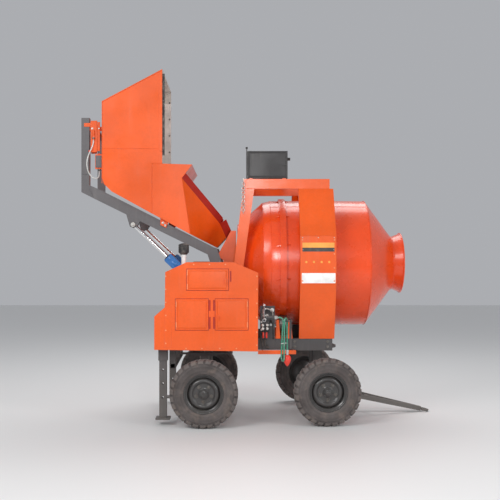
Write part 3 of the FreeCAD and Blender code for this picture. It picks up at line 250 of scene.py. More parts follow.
def inside_mask(s, centre):
    """1 on faces that look towards a point inside the shell, 0 on the outside."""
    away = s.vector("SUBTRACT", s.place, centre)
    return s.maths("LESS_THAN", s.vector("DOT_PRODUCT", away, s.facing), 0.0)


def paint(name, colour, rough=0.34, coat=0.25, dust=0.3, wear=0.5, wave=0.25, inside=None,
          bare=(0.3, 0.27, 0.25, 1), low_dust=0.0):
    """Sprayed metal: uneven tone, orange peel, sheet waviness, dust and rubbed edges."""
    s = Shader(name, coat=coat)
    tone = s.noise(1.7, 4.0)
    base = s.mix(s.steps(tone, 0.3, 0.7), shade(colour, 0.9), shade(colour, 1.07))
    mottled = s.noise(38.0, 2.0)
    base = s.mix(s.steps(mottled, 0.35, 0.75, 0.0, 0.16), base, shade(colour, 0.72))
    level = s.separate(s.facing)[2]
    settled = s.times(s.steps(level, 0.35, 1.0, 0.0, 0.55), s.patches((9.0, 5.0), 0.25, 0.75))
    streaks = s.steps(s.noise(6.0, 4.0, stretch=(5.0, 5.0, 0.35)), 0.52, 0.86, 0.0, 0.35)
    near_ground = s.steps(s.separate(s.place)[2], 0.15, 1.1, low_dust, 0.0)
    grime = s.times(s.maths("ADD", s.maths("ADD", settled, streaks), near_ground), dust)
    base = s.mix(grime, base, DUST)
    rub = s.times(s.edges(0.004), s.patches((22.0, 4.0), 0.5, 0.62, 0.0, wear))
    base = s.mix(rub, base, bare)
    roughness = s.patches((5.0, 4.0), 0.3, 0.7, rough * 0.82, rough * 1.2)
    roughness = s.maths("ADD", roughness, s.times(grime, 0.6))
    if inside:
        caked = s.noise(14.0, 6.0, distortion=0.6)
        film = s.mix(s.steps(caked, 0.35, 0.7), CEMENT, shade(CEMENT, 0.62))
        cover = s.times(inside_mask(s, inside),
                        s.patches((3.5, 5.0), 0.3, 0.52, 0.55, 1.0))
        base = s.mix(cover, base, film)
        roughness = s.maths("MAXIMUM", roughness, s.times(cover, 0.9))
    s.bump([(s.noise(2.6, 1.0), wave, 0.012), (s.noise(420.0, 1.0), 0.1, 0.0006)],
           rounding=0.003)
    return s.finish(base, roughness)


def rubber(name, colour, rough=0.7, dust=0.5, grain=300.0):
    s = Shader(name, sheen=0.08)
    base = s.mix(s.patches((6.0, 5.0), 0.3, 0.7), shade(colour, 0.82), shade(colour, 1.18))
    powder = s.times(s.patches((18.0, 6.0), 0.42, 0.78), dust)
    base = s.mix(powder, base, DUST)
    s.bump([(s.noise(grain, 2.0), 0.18, 0.0008), (s.noise(30.0, 3.0), 0.12, 0.002)])
    return s.finish(base, s.patches((25.0, 3.0), 0.3, 0.7, rough * 0.88, min(1.0, rough * 1.15)))


def metal(name, colour, rough, brushed=(1, 1, 14), grime=0.3, rounding=0.0015):
    s = Shader(name, metallic=1.0)
    base = s.mix(s.patches((8.0, 5.0), 0.3, 0.7), shade(colour, 0.85), shade(colour, 1.1))
    dirt = s.times(s.patches((26.0, 6.0), 0.5, 0.8), grime)
    base = s.mix(dirt, base, (0.1, 0.085, 0.07, 1))
    lines = s.noise(70.0, 2.0, stretch=brushed)
    s.bump([(lines, 0.08, 0.0005)], rounding=rounding)
    return s.finish(base, s.maths("ADD", s.steps(lines, 0.3, 0.7, rough * 0.8, rough * 1.25),
                                  s.times(dirt, 0.4)))


def tyre_rubber():
    """Weathered tyre: dusty brown-grey, paler where the lugs rub the road."""
    s = Shader("tyre_rubber", sheen=0.1)
    base = s.mix(s.patches((7.0, 6.0), 0.3, 0.7), (0.058, 0.048, 0.046, 1),
                 (0.105, 0.09, 0.086, 1))
    raised = s.steps(s.add("ShaderNodeNewGeometry").outputs["Pointiness"], 0.49, 0.56)
    base = s.mix(s.times(raised, 0.45), base, (0.2, 0.17, 0.155, 1))
    mud = s.times(s.steps(s.noise(11.0, 7.0, distortion=0.4), 0.48, 0.74), 0.42)
    base = s.mix(mud, base, (0.24, 0.185, 0.15, 1))
    s.bump([(s.noise(240.0, 3.0), 0.22, 0.001), (s.noise(26.0, 4.0), 0.2, 0.003)])
    return s.finish(base, s.patches((20.0, 4.0), 0.3, 0.7, 0.72, 0.92))


def hose_skin():
    """Braided green garden-hose wall under clear vinyl."""
    s = Shader("hose_vinyl", coat=0.55, coat_rough=0.16)
    wave = s.add("ShaderNodeTexWave", wave_type="BANDS", bands_direction="DIAGONAL")
    wave.inputs["Scale"].default_value = 95.0
    wave.inputs["Distortion"].default_value = 1.2
    s.put(wave.inputs["Vector"], s.place)
    base = s.mix(wave.outputs["Fac"], (0.03, 0.195, 0.125, 1), (0.065, 0.33, 0.21, 1))
    base = s.mix(s.patches((30.0, 5.0), 0.5, 0.8, 0.0, 0.3), base, DUST)
    s.bump([(wave.outputs["Fac"], 0.12, 0.0008)])
    return s.finish(base, s.patches((12.0,), 0.3, 0.7, 0.28, 0.42))


def make_materials():
    orange = (0.84, 0.104, 0.005)
    return {
        "orange": paint("orange_paint", orange, coat=0.12, dust=0.14),
        "panel": paint("panel_paint", orange, rough=0.38, coat=0.1, dust=0.14, wave=0.35,
                       low_dust=0.25),
        # pale: a paler orange for the panel screws and the door hinges; on the hinge strips it is a
        # painted highlight of the lit door edge.
        "pale": paint("highlight_and_rubbed_orange_paint", (0.9, 0.3, 0.13), coat=0.1, dust=0.05),
        "hopper": paint("hopper_paint", (0.84, 0.102, 0.005), wave=0.4, dust=0.14,
                        inside=(-1.25, 0, 2.85)),
        "chute": paint("chute_paint", orange, inside=(-0.33, 0, 1.95)),
        # shadow_red: a darker copy of the orange paint, painted shade for the door gaps, the slots
        # beside the latches and the spout flanges.
        "shadow_red": paint("painted_shade_red_paint", (0.42, 0.016, 0.006), rough=0.5, coat=0.0,
                            dust=0.05),
        "drum": paint("drum_paint", (0.84, 0.072, 0.006), rough=0.27, coat=0.3, dust=0.08,
                      wave=0.2),
        "chassis": paint("chassis_paint", (0.062, 0.058, 0.06), rough=0.48, coat=0.1, dust=0.3,
                         wear=0.4, low_dust=0.55, bare=(0.22, 0.15, 0.11, 1)),
        "arm": paint("arm_paint", (0.12, 0.112, 0.116), rough=0.42, coat=0.15, dust=0.26,
                     wear=0.35, bare=(0.3, 0.28, 0.27, 1)),
        "cabinet": paint("cabinet_paint", (0.03, 0.027, 0.027), rough=0.5, coat=0.05, dust=0.2,
                         wear=0.4),
        "rim": paint("rim_paint", (0.026, 0.025, 0.026), rough=0.3, coat=0.4, dust=0.22, wear=0.7,
                     bare=(0.42, 0.4, 0.38, 1), low_dust=0.2),
        "blue": paint("cylinder_paint", (0.025, 0.16, 0.46), rough=0.34, dust=0.25),
        "engine": paint("engine_paint", (0.085, 0.105, 0.125), rough=0.5, dust=0.5, coat=0.0),
        "tyre": tyre_rubber(),
        "rubber": rubber("black_rubber", (0.022, 0.02, 0.021), dust=0.25),
        "beige": rubber("worn_belting", (0.8, 0.74, 0.69), rough=0.8, dust=0.2),
        "cable": rubber("cable_sheath", (0.58, 0.58, 0.56), rough=0.42, dust=0.35, grain=120.0),
        "white": rubber("white_plastic", (0.78, 0.78, 0.76), rough=0.34, dust=0.1, grain=60.0),
        "label": rubber("blank_label", (0.83, 0.82, 0.8), rough=0.4, dust=0.06, grain=90.0),
        "decal_dark": rubber("band_charcoal", (0.045, 0.04, 0.038), rough=0.42, dust=0.1,
                             grain=90.0),
        "red": paint("red_plastic", (0.82, 0.045, 0.022), rough=0.3, coat=0.4, dust=0.12,
                     wear=0.1),
        "hose": hose_skin(),
        "steel": metal("bright_steel", (0.62, 0.6, 0.57), 0.33),
        "zinc": metal("zinc_plate", (0.66, 0.64, 0.6), 0.38),
        "chrome": metal("hard_chrome", (0.8, 0.8, 0.8), 0.1, grime=0.1),
        "machined": metal("oiled_iron", (0.2, 0.185, 0.17), 0.42, grime=0.55),
        "amber": rubber("band_amber", (0.86, 0.36, 0.055), rough=0.4, dust=0.06, grain=90.0),
        "cement": rubber("dried_cement", (0.4, 0.37, 0.33), rough=0.9, dust=0.6, grain=40.0),
    }


def both(*stems):
    """The near and the far node of each stem."""
    return tuple(f"{stem}_{name}" for stem in stems for _, name in SIDES)


NODE_FINISH = {
    "orange": ("top_frame", "gear_guards", "roller_brackets", "load_cells"),
    "panel": ("engine_hood", "upper_door", "lower_door_left", "lower_door_right",
              "upper_door_latch", "lower_door_latch", *both("side_panel")),
    "pale": ("panel_screws",),
    "hopper": ("hopper_bucket", "hopper_spout"),
    "chute": ("inlet_chute",),
    "drum": ("drum_shell", "track_rings"),
    "chassis": ("chassis_rails", "cross_members", "hopper_towers", "fixed_axle", "steer_axle",
                "jack_sleeves", "drawbar", "tanks", "drum_motor", "valve_block",
                *both("jack_leg")),
    "arm": ("hopper_arms",),
    "cabinet": ("control_cabinet", "cabinet_door"),
    "rim": both("fixed_rim", "steer_rim"),
    "tyre": both("fixed_tyre", "steer_tyre"),
    "rubber": ("mouth_strips", "precleaner"),
    "blue": both("lift_barrel"),
    "chrome": ("drum_lever", *both("lift_rod")),
    "machined": ("ring_gear", "pinion", "mixing_blades", *both("roller_feed", "roller_mouth")),
    "engine": ("engine",),
    "hose": ("wash_hose",),
    "red": ("hose_nozzle",),
    "cable": ("hopper_cable",),
    "zinc": ("safety_chain",),
}


def dress_nodes(mats):
    for finish, names in NODE_FINISH.items():
        for name in names:
            slots = nodes[name].data.materials
            slots.clear()
            slots.append(mats[finish])


# ---------------------------------------------------------------- mesh building
def across(axis):
    """Two directions at right angles to an axis and to each other."""
    helper = Z if abs(axis.z) < 0.9 else X
    side = axis.cross(helper).normalized()
    return side, axis.cross(side).normalized()


def arc(centre, radius, start, end, steps=8):
    """Points of an arc in a plane, with angles in degrees."""
    angles = [math.radians(start + (end - start) * i / steps) for i in range(steps + 1)]
    return [(centre[0] + radius * math.cos(t), centre[1] + radius * math.sin(t)) for t in angles]


SAME_PLACE = 1e-6                   # points closer than this are one point


class Build:
    """Collects simple closed forms into one mesh piece."""

    def __init__(self):
        self.verts, self.faces = [], []

    def add(self, verts, faces):
        first = len(self.verts)
        self.verts += [Vector(v) for v in verts]
        self.faces += [[first + i for i in face] for face in faces]
        return self

    def box(self, low, high):
        x, y, z = zip(low, high)
        corners = [(x[i & 1], y[i >> 1 & 1], z[i >> 2 & 1]) for i in range(8)]
        return self.add(corners, [(0, 2, 3, 1), (4, 5, 7, 6), (0, 1, 5, 4), (2, 6, 7, 3),
                                  (0, 4, 6, 2), (1, 3, 7, 5)])

    def lathe(self, profile, centre, axis, steps=96, closed=True, first=0.0):
        """Turn (along, radius) points about an axis."""
        axis, centre = Vector(axis).normalized(), Vector(centre)
        side, other = across(axis)
        count = len(profile)
        verts = []
        for i in range(steps):
            turn = first + 2 * math.pi * i / steps
            out = side * math.cos(turn) + other * math.sin(turn)
            verts += [centre + axis * a + out * r for a, r in profile]
        spans = count if closed else count - 1
        faces = []
        for i in range(steps):
            here, there = i * count, (i + 1) % steps * count
            for j in range(spans):
                k = (j + 1) % count
                faces.append((here + j, here + k, there + k, there + j))
        return self.add(verts, faces)

    def turned(self, profile, centre, axis, steps, first=0.0):
        """A solid turned from a profile whose two ends are closed on the axis."""
        tips = [(profile[0][0], 0)], [(profile[-1][0], 0)]
        return self.lathe(tips[0] + profile + tips[1], centre, axis, steps, False, first)

    def rod(self, radius, start, end, steps=24, chamfer=0.0):
        start, end = Vector(start), Vector(end)
        axis = end - start
        long, cut = axis.length, chamfer
        profile = [(0, radius - cut), (cut, radius), (long - cut, radius), (long, radius - cut)]
        return self.turned(profile, start, axis, steps)

    def sweep(self, points, radius, sides=12, ripple=0.0):
        """A round bar along a line of points; ripple makes weld scales."""
        points = [Vector(p) for p in points]
        side = across((points[1] - points[0]).normalized())[0]
        rings = []
        for i, here in enumerate(points):
            ahead = points[min(i + 1, len(points) - 1)] - points[max(i - 1, 0)]
            ahead.normalize()
            side = (side - ahead * side.dot(ahead)).normalized()
            other = ahead.cross(side)
            scales = math.sin(2.1 * i) + 0.4 * math.sin(0.37 * i)
            size = radius * (1.0 + ripple * scales)
            rings.append([here + (side * math.cos(t) + other * math.sin(t)) * size
                          for t in turns(sides)])
        verts = [v for ring in rings for v in ring] + [points[0], points[-1]]
        last = (len(rings) - 1) * sides
        faces = []
        for i in range(len(rings) - 1):
            for k in range(sides):
                a, b = i * sides + k, i * sides + (k + 1) % sides
                faces.append((a, b, b + sides, a + sides))
        for k in range(sides):
            faces.append((len(verts) - 2, (k + 1) % sides, k))
            faces.append((len(verts) - 1, last + k, last + (k + 1) % sides))
        return self.add(verts, faces)

    def bead(self, points, radius=0.0045):
        """A weld bead along straight runs."""
        points = [Vector(p) for p in points]
        line = []
        for a, b in zip(points, points[1:]):
            count = max(2, int((b - a).length / (radius * 0.9)))
            line += [a.lerp(b, i / count) for i in range(count)]
        return self.sweep(line + [points[-1]], radius, 6, 0.22)

    def bolt(self, place, axis, size):
        """A hex head on a washer; size is half the width across the corners."""
        place, axis = Vector(place), Vector(axis).normalized()
        seat = place + axis * size * 0.22
        self.rod(size * 1.35, place, seat, 20, size * 0.06)
        head = [(0, size), (size * 0.62, size), (size * 0.78, size * 0.86)]
        return self.turned(head, seat, axis, 6, first=seat.x * 7)

    def dome(self, place, axis, radius, height):
        """A round rivet or screw head."""
        curve = [(height * math.sin(math.radians(t)), radius * math.cos(math.radians(t)))
                 for t in range(0, 91, 18)]
        return self.lathe([(0, 0)] + curve, place, axis, 18, closed=False)

    def slab(self, outline, origin, u, v, depth):
        """An outline of (u, v) points carried along u x v."""
        origin, u, v = Vector(origin), Vector(u), Vector(v)
        out = u.cross(v).normalized() * depth
        flat = [origin + u * a + v * b for a, b in outline]
        count = len(flat)
        faces = [tuple(reversed(range(count))), tuple(range(count, 2 * count))]
        faces += [(i, (i + 1) % count, (i + 1) % count + count, i + count) for i in range(count)]
        return self.add(flat + [p + out for p in flat], faces)

    def done(self, name, mat, body, slot, smooth=35, bevel=0.0):
        """Make the object and ride it on a body; the slot argument is not used."""
        mesh = bpy.data.meshes.new(name)
        bm = bmesh.new()
        made = [bm.verts.new(v) for v in self.verts]
        for face in self.faces:
            bm.faces.new([made[i] for i in face])
        bmesh.ops.remove_doubles(bm, verts=bm.verts, dist=SAME_PLACE)
        bmesh.ops.dissolve_degenerate(bm, edges=bm.edges, dist=SAME_PLACE)
        bmesh.ops.recalc_face_normals(bm, faces=bm.faces)
        bm.to_mesh(mesh)
        bm.free()
        mesh.shade_smooth()
        mesh.set_sharp_from_angle(angle=math.radians(smooth))
        mesh.materials.append(mats[mat])
        obj = bpy.data.objects.new(name, mesh)
        link(obj)
        if bevel:
            rounding = obj.modifiers.new("rounding", "BEVEL")
            rounding.width = bevel
            rounding.segments = 2
            rounding.limit_method = "ANGLE"
        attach(obj, body)
        return obj


def box_centre(node):
    low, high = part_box(node)
    return (low + high) / 2


# ---------------------------------------------------------------- cords
HOSE_RADIUS = 0.009
HOSE_ROUTE = [(165, -900, 1176), (200, -900, 1176), (220, -911, 1158), (222, -921, 1112),
              (212, -927, 1030), (208, -925, 905), (202, -928, 810), (203, -924, 752),
              (203, -924, 730), (210.3, -939.2, 713), (220.7, -960.8, 713), (228, -976, 730),
              (229, -978, 772), (227, -980, 850), (232, -977, 985), (231, -979, 1085),
              (233, -976, 1132), (233, -977, 1156), (241.5, -963, 1172.4),
              (253.5, -943, 1172.4), (262, -929, 1156), (263, -928, 1112), (260, -931, 1030),
              (265, -927, 935), (264, -929, 880), (264, -929, 832)]
CABLE_RADIUS = 0.007
CABLE_ROUTE = [(-1860, -636, 3120), (-1860, -636, 3085), (-1874, -642, 3040),
               (-1898, -652, 2985), (-1924, -661, 2915), (-1930, -664, 2845),
               (-1917, -664, 2770), (-1880, -658, 2712), (-1836, -648, 2690),
               (-1803, -637, 2705), (-1796, -630, 2742), (-1796, -630, 2790)]


def cord_curve(name, route, radius, mat, body):
    """A smooth NURBS line with the route's points as its control points."""
    data = bpy.data.curves.new(name, "CURVE")
    data.dimensions = "3D"
    line = data.splines.new("NURBS")
    line.points.add(len(route) - 1)
    for point, place in zip(line.points, route):
        point.co = (*(value * MM for value in place), 1)
    line.order_u = 3
    line.use_endpoint_u = True
    line.resolution_u = 12
    data.bevel_depth = radius
    data.bevel_resolution = 5
    data.use_fill_caps = True
    data.materials.append(mats[mat])
    obj = bpy.data.objects.new(name, data)
    link(obj)
    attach(obj, body)
    return obj


def nozzle():
    """Spray head: a pale neck with a ribbed collar, and a teardrop bulb."""
    low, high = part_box("hose_nozzle")
    tall = high.z - low.z
    top = ((low.x + high.x) / 2, (low.y + high.y) / 2, high.z)
    neck = Build()
    neck.lathe([(0, 0.0092), (0, 0.0155), (0.03, 0.0165), (0.034, 0.0135), (0.062, 0.0135),
                (0.062, 0.0095)], top, -Z, 40)
    for i in range(4):
        down = i * 0.007
        neck.lathe([(0.004 + down, 0.015), (0.0065 + down, 0.0178), (0.009 + down, 0.015)],
                   top, -Z, 40)
    neck.done("nozzle_neck", "cable", "chassis", "cable_grey")
    bulb = Build()
    wide, start = 0.0375, 0.055
    curve = []
    for i in range(25):
        t = i / 24
        swell = math.sin(math.pi * t ** 0.8) ** 0.72 if 0 < t < 1 else 0.0
        curve.append((start + (tall - start) * t, 0.0138 * (1 - t) ** 2 + wide * 0.97 * swell))
    bulb.lathe(curve, top, -Z, 48, closed=False)
    bulb.lathe([(0.094, 0.033), (0.097, 0.0372), (0.1, 0.0355)], top, -Z, 48)
    head = bulb.done("nozzle_bulb", "red", "chassis", "nozzle_red", smooth=60)
    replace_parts(head, "hose_nozzle")
    return head


def cords():
    """The wash-down hose with its spray head and tie, and the weighing cable."""
    hose = cord_curve("wash_hose_line", HOSE_ROUTE, HOSE_RADIUS, "hose", "chassis")
    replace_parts(hose, "wash_hose")
    head = nozzle()
    tie = Build()
    ring = ((-0.013, -0.011), (0.033, 0.02), (0.05, 0.046), (0.02, 0.06), (-0.006, 0.038),
            (-0.02, 0.006))
    low = Vector((0.215, -0.99, 0.905))
    loop = [low + Vector((a, b, 0.002 * math.sin(3 * a / 0.05))) for a, b in ring]
    tie.sweep(loop + loop[:1], 0.0022, 8)
    tie.done("hose_tie", "white", "chassis", "cable_grey")
    cable = cord_curve("hopper_cable_line", CABLE_ROUTE, CABLE_RADIUS, "cable", "hopper")
    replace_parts(cable, "hopper_cable")


# ---------------------------------------------------------------- wheels
LUGS = 27
TYRE_RADIUS, TYRE_HALF_WIDTH = 0.367, 0.0822
SHOULDER_FOOT, SHOULDER_TOP = 0.3225, 0.3515


def tyre_section():
    """Half section of the carcass from bead to crown: (distance from the middle, radius)."""
    return [(0.054, 0.2125), (0.064, 0.215), (0.069, 0.223), (0.0735, 0.234), (0.0765, 0.247),
            (0.0765, 0.25), (0.0785, 0.252), (0.08, 0.268), (0.0808, 0.285), (0.08, 0.299),
            (0.0812, 0.301), (0.08, 0.304), (0.077, 0.315), (0.0755, 0.322), (0.0745, 0.325),
            (0.07, 0.337), (0.063, 0.3465), (0.056, 0.3505), (0.053, 0.3515), (0.043, 0.3535),
            (0.033, 0.3545), (0.029, 0.3548), (0.02, 0.355), (0.01, 0.3553), (0.007, 0.3554)]


def lug_height(distance, radius, phase):
    """How far the tread stands out at a place of one pitch."""
    deep, gap, middle_groove = 0.012, 0.27, 0.008
    if radius < SHOULDER_FOOT or phase < gap or distance < middle_groove:
        return 0.0
    if 0.0295 < distance < 0.0325 and phase > 0.45:
        return deep * 0.35
    if distance > 0.056:
        rise = (radius - SHOULDER_FOOT) / (SHOULDER_TOP - SHOULDER_FOOT)
        return deep * (0.55 + 0.45 * rise)
    return deep


def outward(body, side):
    """A wheel's axle direction, pointing away from the machine."""
    axis = Vector(joint_of[body]["axis"]).normalized()
    return axis if axis.y * side > 0 else -axis


def tyre(node, body, side):
    """A tyre with staggered bar lugs that wrap over both shoulders."""
    axis = outward(body, side)
    centre = box_centre(node)
    section = tyre_section()
    marks = (0.0, 0.135, 0.268, 0.3, 0.47, 0.64, 0.81, 0.965)   # columns of one lug pitch
    u, v = across(axis)
    rows = [(-d, r) for d, r in section] + [(d, r) for d, r in reversed(section)]
    inner = [(0.05, 0.201), (-0.05, 0.201)]
    half, count = len(section), len(rows) + len(inner)
    columns = LUGS * len(marks)

    def place(d, r, turn):
        return centre + axis * d + (u * math.cos(turn) + v * math.sin(turn)) * r

    verts = []
    for i in range(columns):
        pitch, mark = divmod(i, len(marks))
        phase = marks[mark]
        for j, (d, r) in enumerate(rows):
            stagger = 0.25 if j < half else -0.25
            slant = 0.3 * abs(d) / 0.08
            before, after = rows[max(j - 1, 0)], rows[min(j + 1, len(rows) - 1)]
            dd, dr = after[0] - before[0], after[1] - before[1]
            length = math.hypot(dd, dr)
            rise = lug_height(abs(d), r, phase)
            d2, r2 = d - dr / length * rise, r + dd / length * rise
            r2 = min(r2, TYRE_RADIUS)
            d2 = max(-TYRE_HALF_WIDTH, min(TYRE_HALF_WIDTH, d2))
            turn = 2 * math.pi * (pitch + phase + stagger + slant) / LUGS
            verts.append(place(d2, r2, turn))
        verts += [place(d, r, 2 * math.pi * (pitch + phase) / LUGS) for d, r in inner]
    faces = []
    for i in range(columns):
        here, there = i * count, (i + 1) % columns * count
        faces += [(here + j, here + (j + 1) % count, there + (j + 1) % count, there + j)
                  for j in range(count)]
    b = Build().add(verts, faces)
    obj = b.done(node + "_tread", "tyre", body, "tyre", smooth=38)
    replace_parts(obj, node)


def rim(node, body, side, tyre_node):
    """Pressed steel rim: rolled flanges, dished disc, hub with cap, five nuts and a valve."""
    axis = outward(body, side)
    centre = box_centre(tyre_node)
    lip = 0.0615
    outer = [(-lip, 0.211), (-lip - 0.0005, 0.205), (-0.056, 0.1985), (-0.05, 0.195),
             (-0.033, 0.179), (-0.026, 0.1768), (0.034, 0.1768), (0.041, 0.1785),
             (0.05, 0.1935), (0.055, 0.1975), (lip - 0.002, 0.201), (lip, 0.2055),
             (lip - 0.001, 0.211), (lip - 0.0045, 0.212), (0.056, 0.2112), (0.0545, 0.208),
             (0.052, 0.201), (0.047, 0.1975), (0.033, 0.185), (-0.024, 0.185),
             (-0.046, 0.199), (-0.053, 0.208), (-0.056, 0.2112)]
    b = Build()
    b.lathe(outer, centre, axis, 112)
    dish = [(0.004, 0.1772), (0.012, 0.17), (0.026, 0.16), (0.0355, 0.148), (0.0385, 0.136),
            (0.0375, 0.127), (0.032, 0.1195), (0.0245, 0.114), (0.022, 0.106), (0.022, 0.064),
            (0.0255, 0.056), (0.033, 0.0525), (0.033, 0.047), (0.016, 0.047), (0.016, 0.109),
            (0.025, 0.126), (0.028, 0.137), (0.022, 0.15), (0.01, 0.163), (-0.004, 0.17),
            (-0.01, 0.1772)]
    b.lathe(dish, centre, axis, 112)
    rim_piece = b.done(node + "_pressing", "rim", body, "rim_black", smooth=40)
    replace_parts(rim_piece, node)
    hub = Build()
    hub.lathe([(-0.048, 0.0315), (-0.048, 0.046), (0.04, 0.046), (0.046, 0.043), (0.047, 0.038),
               (0.047, 0.0315)], centre, axis, 64)
    hub.lathe([(0.04, 0.034), (0.052, 0.035), (0.059, 0.032), (0.0618, 0.024), (0.0622, 0.0),
               (0.04, 0.0)], centre, axis, 48, closed=False)
    hub.lathe([(0.055, 0.0), (0.0655, 0.0), (0.0655, 0.0085), (0.0615, 0.011),
               (0.055, 0.011)], centre, axis, 6, closed=False)
    hub.done(node + "_hub", "rim", body, "rim_black")
    nuts = Build()
    u, v = across(axis)
    for i in range(5):
        turn = math.radians(90 + 72 * i)
        out = (u * math.cos(turn) + v * math.sin(turn)) * 0.086
        nuts.bolt(centre + out + axis * 0.022, axis, 0.0155)
        nuts.rod(0.007, centre + out + axis * 0.03, centre + out + axis * 0.0445, 16, 0.0012)
    nuts.done(node + "_nuts", "machined", body, "zinc")
    valve = Build()
    out = (u * 0.83 + v * -0.55).normalized()
    root = centre + out * 0.166 + axis * 0.03
    valve.rod(0.0048, root, root + axis * 0.022 - out * 0.006, 16, 0.0008)
    valve.rod(0.0064, root - axis * 0.006, root + axis * 0.008, 20, 0.001)
    valve.done(node + "_valve", "rubber", body, "black_rubber")


def wheels():
    """A tyre and a rim on each of the four wheel bodies."""
    for kind in ("fixed", "steer"):
        for side, name in SIDES:
            body = f"{kind}_wheel_{name}"
            tyre_node = f"{kind}_tyre_{name}"
            tyre(tyre_node, body, side)
            rim(f"{kind}_rim_{name}", body, side, tyre_node)


def rounded(x0, x1, z0, z1, radius, steps=5):
    """A rectangle with round corners, anticlockwise."""
    corners = ((x1 - radius, z1 - radius, 0), (x0 + radius, z1 - radius, 90),
               (x0 + radius, z0 + radius, 180), (x1 - radius, z0 + radius, 270))
    return [p for cx, cz, start in corners
            for p in arc((cx, cz), radius, start, start + 90, steps)]


def raised_plate(b, box, base_y, out, rings, radius):
    """A pressed plate that faces along Y: rings are (inset, height) pairs from the back."""
    x0, x1, z0, z1 = box
    loops = [rounded(x0 + inset, x1 - inset, z0 + inset, z1 - inset,
                     max(radius - inset * 0.4, 0.002)) for inset, _ in rings]
    count = len(loops[0])
    verts = [(x, base_y + out * height, z)
             for loop, (_, height) in zip(loops, rings) for x, z in loop]
    faces = [(i * count + j, i * count + (j + 1) % count, (i + 1) * count + (j + 1) % count,
              (i + 1) * count + j) for i in range(len(rings) - 1) for j in range(count)]
    faces.append(tuple(range(count)))
    faces.append(tuple(range((len(rings) - 1) * count, len(rings) * count)))
    b.add(verts, faces)


def flat_plate(b, box, base_y, thick, radius):
    """A thin plate that faces the near side."""
    raised_plate(b, box, base_y, -1, [(0, 0), (0, thick)], radius)


# ---------------------------------------------------------------- drum
def spoke(t):
    """The direction at an angle round the drum's axis."""
    return Vector((0, math.cos(t), math.sin(t)))


def drum_profile():
    """Outer line of the drum shell: (along X, radius)."""
    barrel = [(0.105 + 1.092 * i / 16, 0.7195 + 0.0055 * math.sin(math.pi * i / 16))
              for i in range(17)]
    feed_cone = [(-0.262, 0.44), (0.008, 0.688), (0.02, 0.6975), (0.034, 0.702),
                 (0.098, 0.7185)]
    mouth_cone = [(1.211, 0.712), (1.5, 0.331), (1.514, 0.312), (1.53, 0.3045),
                  (1.628, 0.342), (1.634, 0.345)]
    return feed_cone + barrel + mouth_cone


def drum():
    """Rolled shell with its weld seams, a film of cement inside, gear bolts and gussets."""
    outer = drum_profile()
    wall = 0.006
    shell = Build()
    shell.lathe(outer + [(x, r - wall) for x, r in reversed(outer)], DRUM_CENTRE, X, 144)
    for x, r, size in ((-0.258, 0.441, 0.011), (1.629, 0.343, 0.009)):
        shell.lathe(arc((x, r), size, 0, 324, 9), DRUM_CENTRE, X, 144)
    piece = shell.done("drum_shell_rolled", "drum", "drum", "drum_paint", smooth=24)
    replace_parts(piece, "drum_shell")
    welds = Build()
    for x, r, size in ((0.02, 0.6975, 0.005), (0.105, 0.7192, 0.0035), (1.2, 0.7205, 0.005),
                       (1.519, 0.308, 0.0055)):
        ring = [(x, r * math.cos(t), UP_DRUM + r * math.sin(t))
                for t in (2 * math.pi * i / 420 for i in range(421))]
        welds.sweep(ring, size, 6, 0.16)
    for turn in (118, 298):
        t = math.radians(turn)
        line = [(x, r * math.cos(t), UP_DRUM + r * math.sin(t)) for x, r in outer[4:22]]
        welds.bead(line, 0.0035)
    welds.done("drum_weld_seams", "drum", "drum", "drum_paint", smooth=60)
    film = Build()
    inner = [(x, r - wall - 0.0006) for x, r in outer[1:-2]]
    film.lathe(inner + [(x, r - 0.003) for x, r in reversed(inner)], DRUM_CENTRE, X, 96)
    film.done("drum_concrete_film", "cement", "drum", "machined", smooth=40)
    flange = Build()
    for t in turns(36):
        flange.bolt(DRUM_CENTRE + spoke(t) * 0.742 + X * 0.6055, X, 0.011)
    flange.done("ring_gear_bolts", "zinc", "drum", "zinc")
    for x in (0.24, 0.7):
        bar = Build()
        for t in turns(12, 0.5):
            out = spoke(t)
            side = Vector((0, -out.z, out.y))
            for way in (-1, 1):
                root = DRUM_CENTRE + out * 0.722 + X * (x + way * 0.035)
                wedge = [(0.0, 0.0), (0.045 * way, 0.0), (0.0, 0.018)]
                bar.slab(wedge, root - side * 0.006, X, out, 0.012 if way < 0 else -0.012)
        bar.done(f"track_ring_gussets_{round(x * 1000)}", "drum", "drum", "drum_paint")


# ---------------------------------------------------------------- hopper
SIDE = 0.68                        # half width of the bucket
BUCKET_BACK, SPOUT_BACK = -1.7595, -1.21


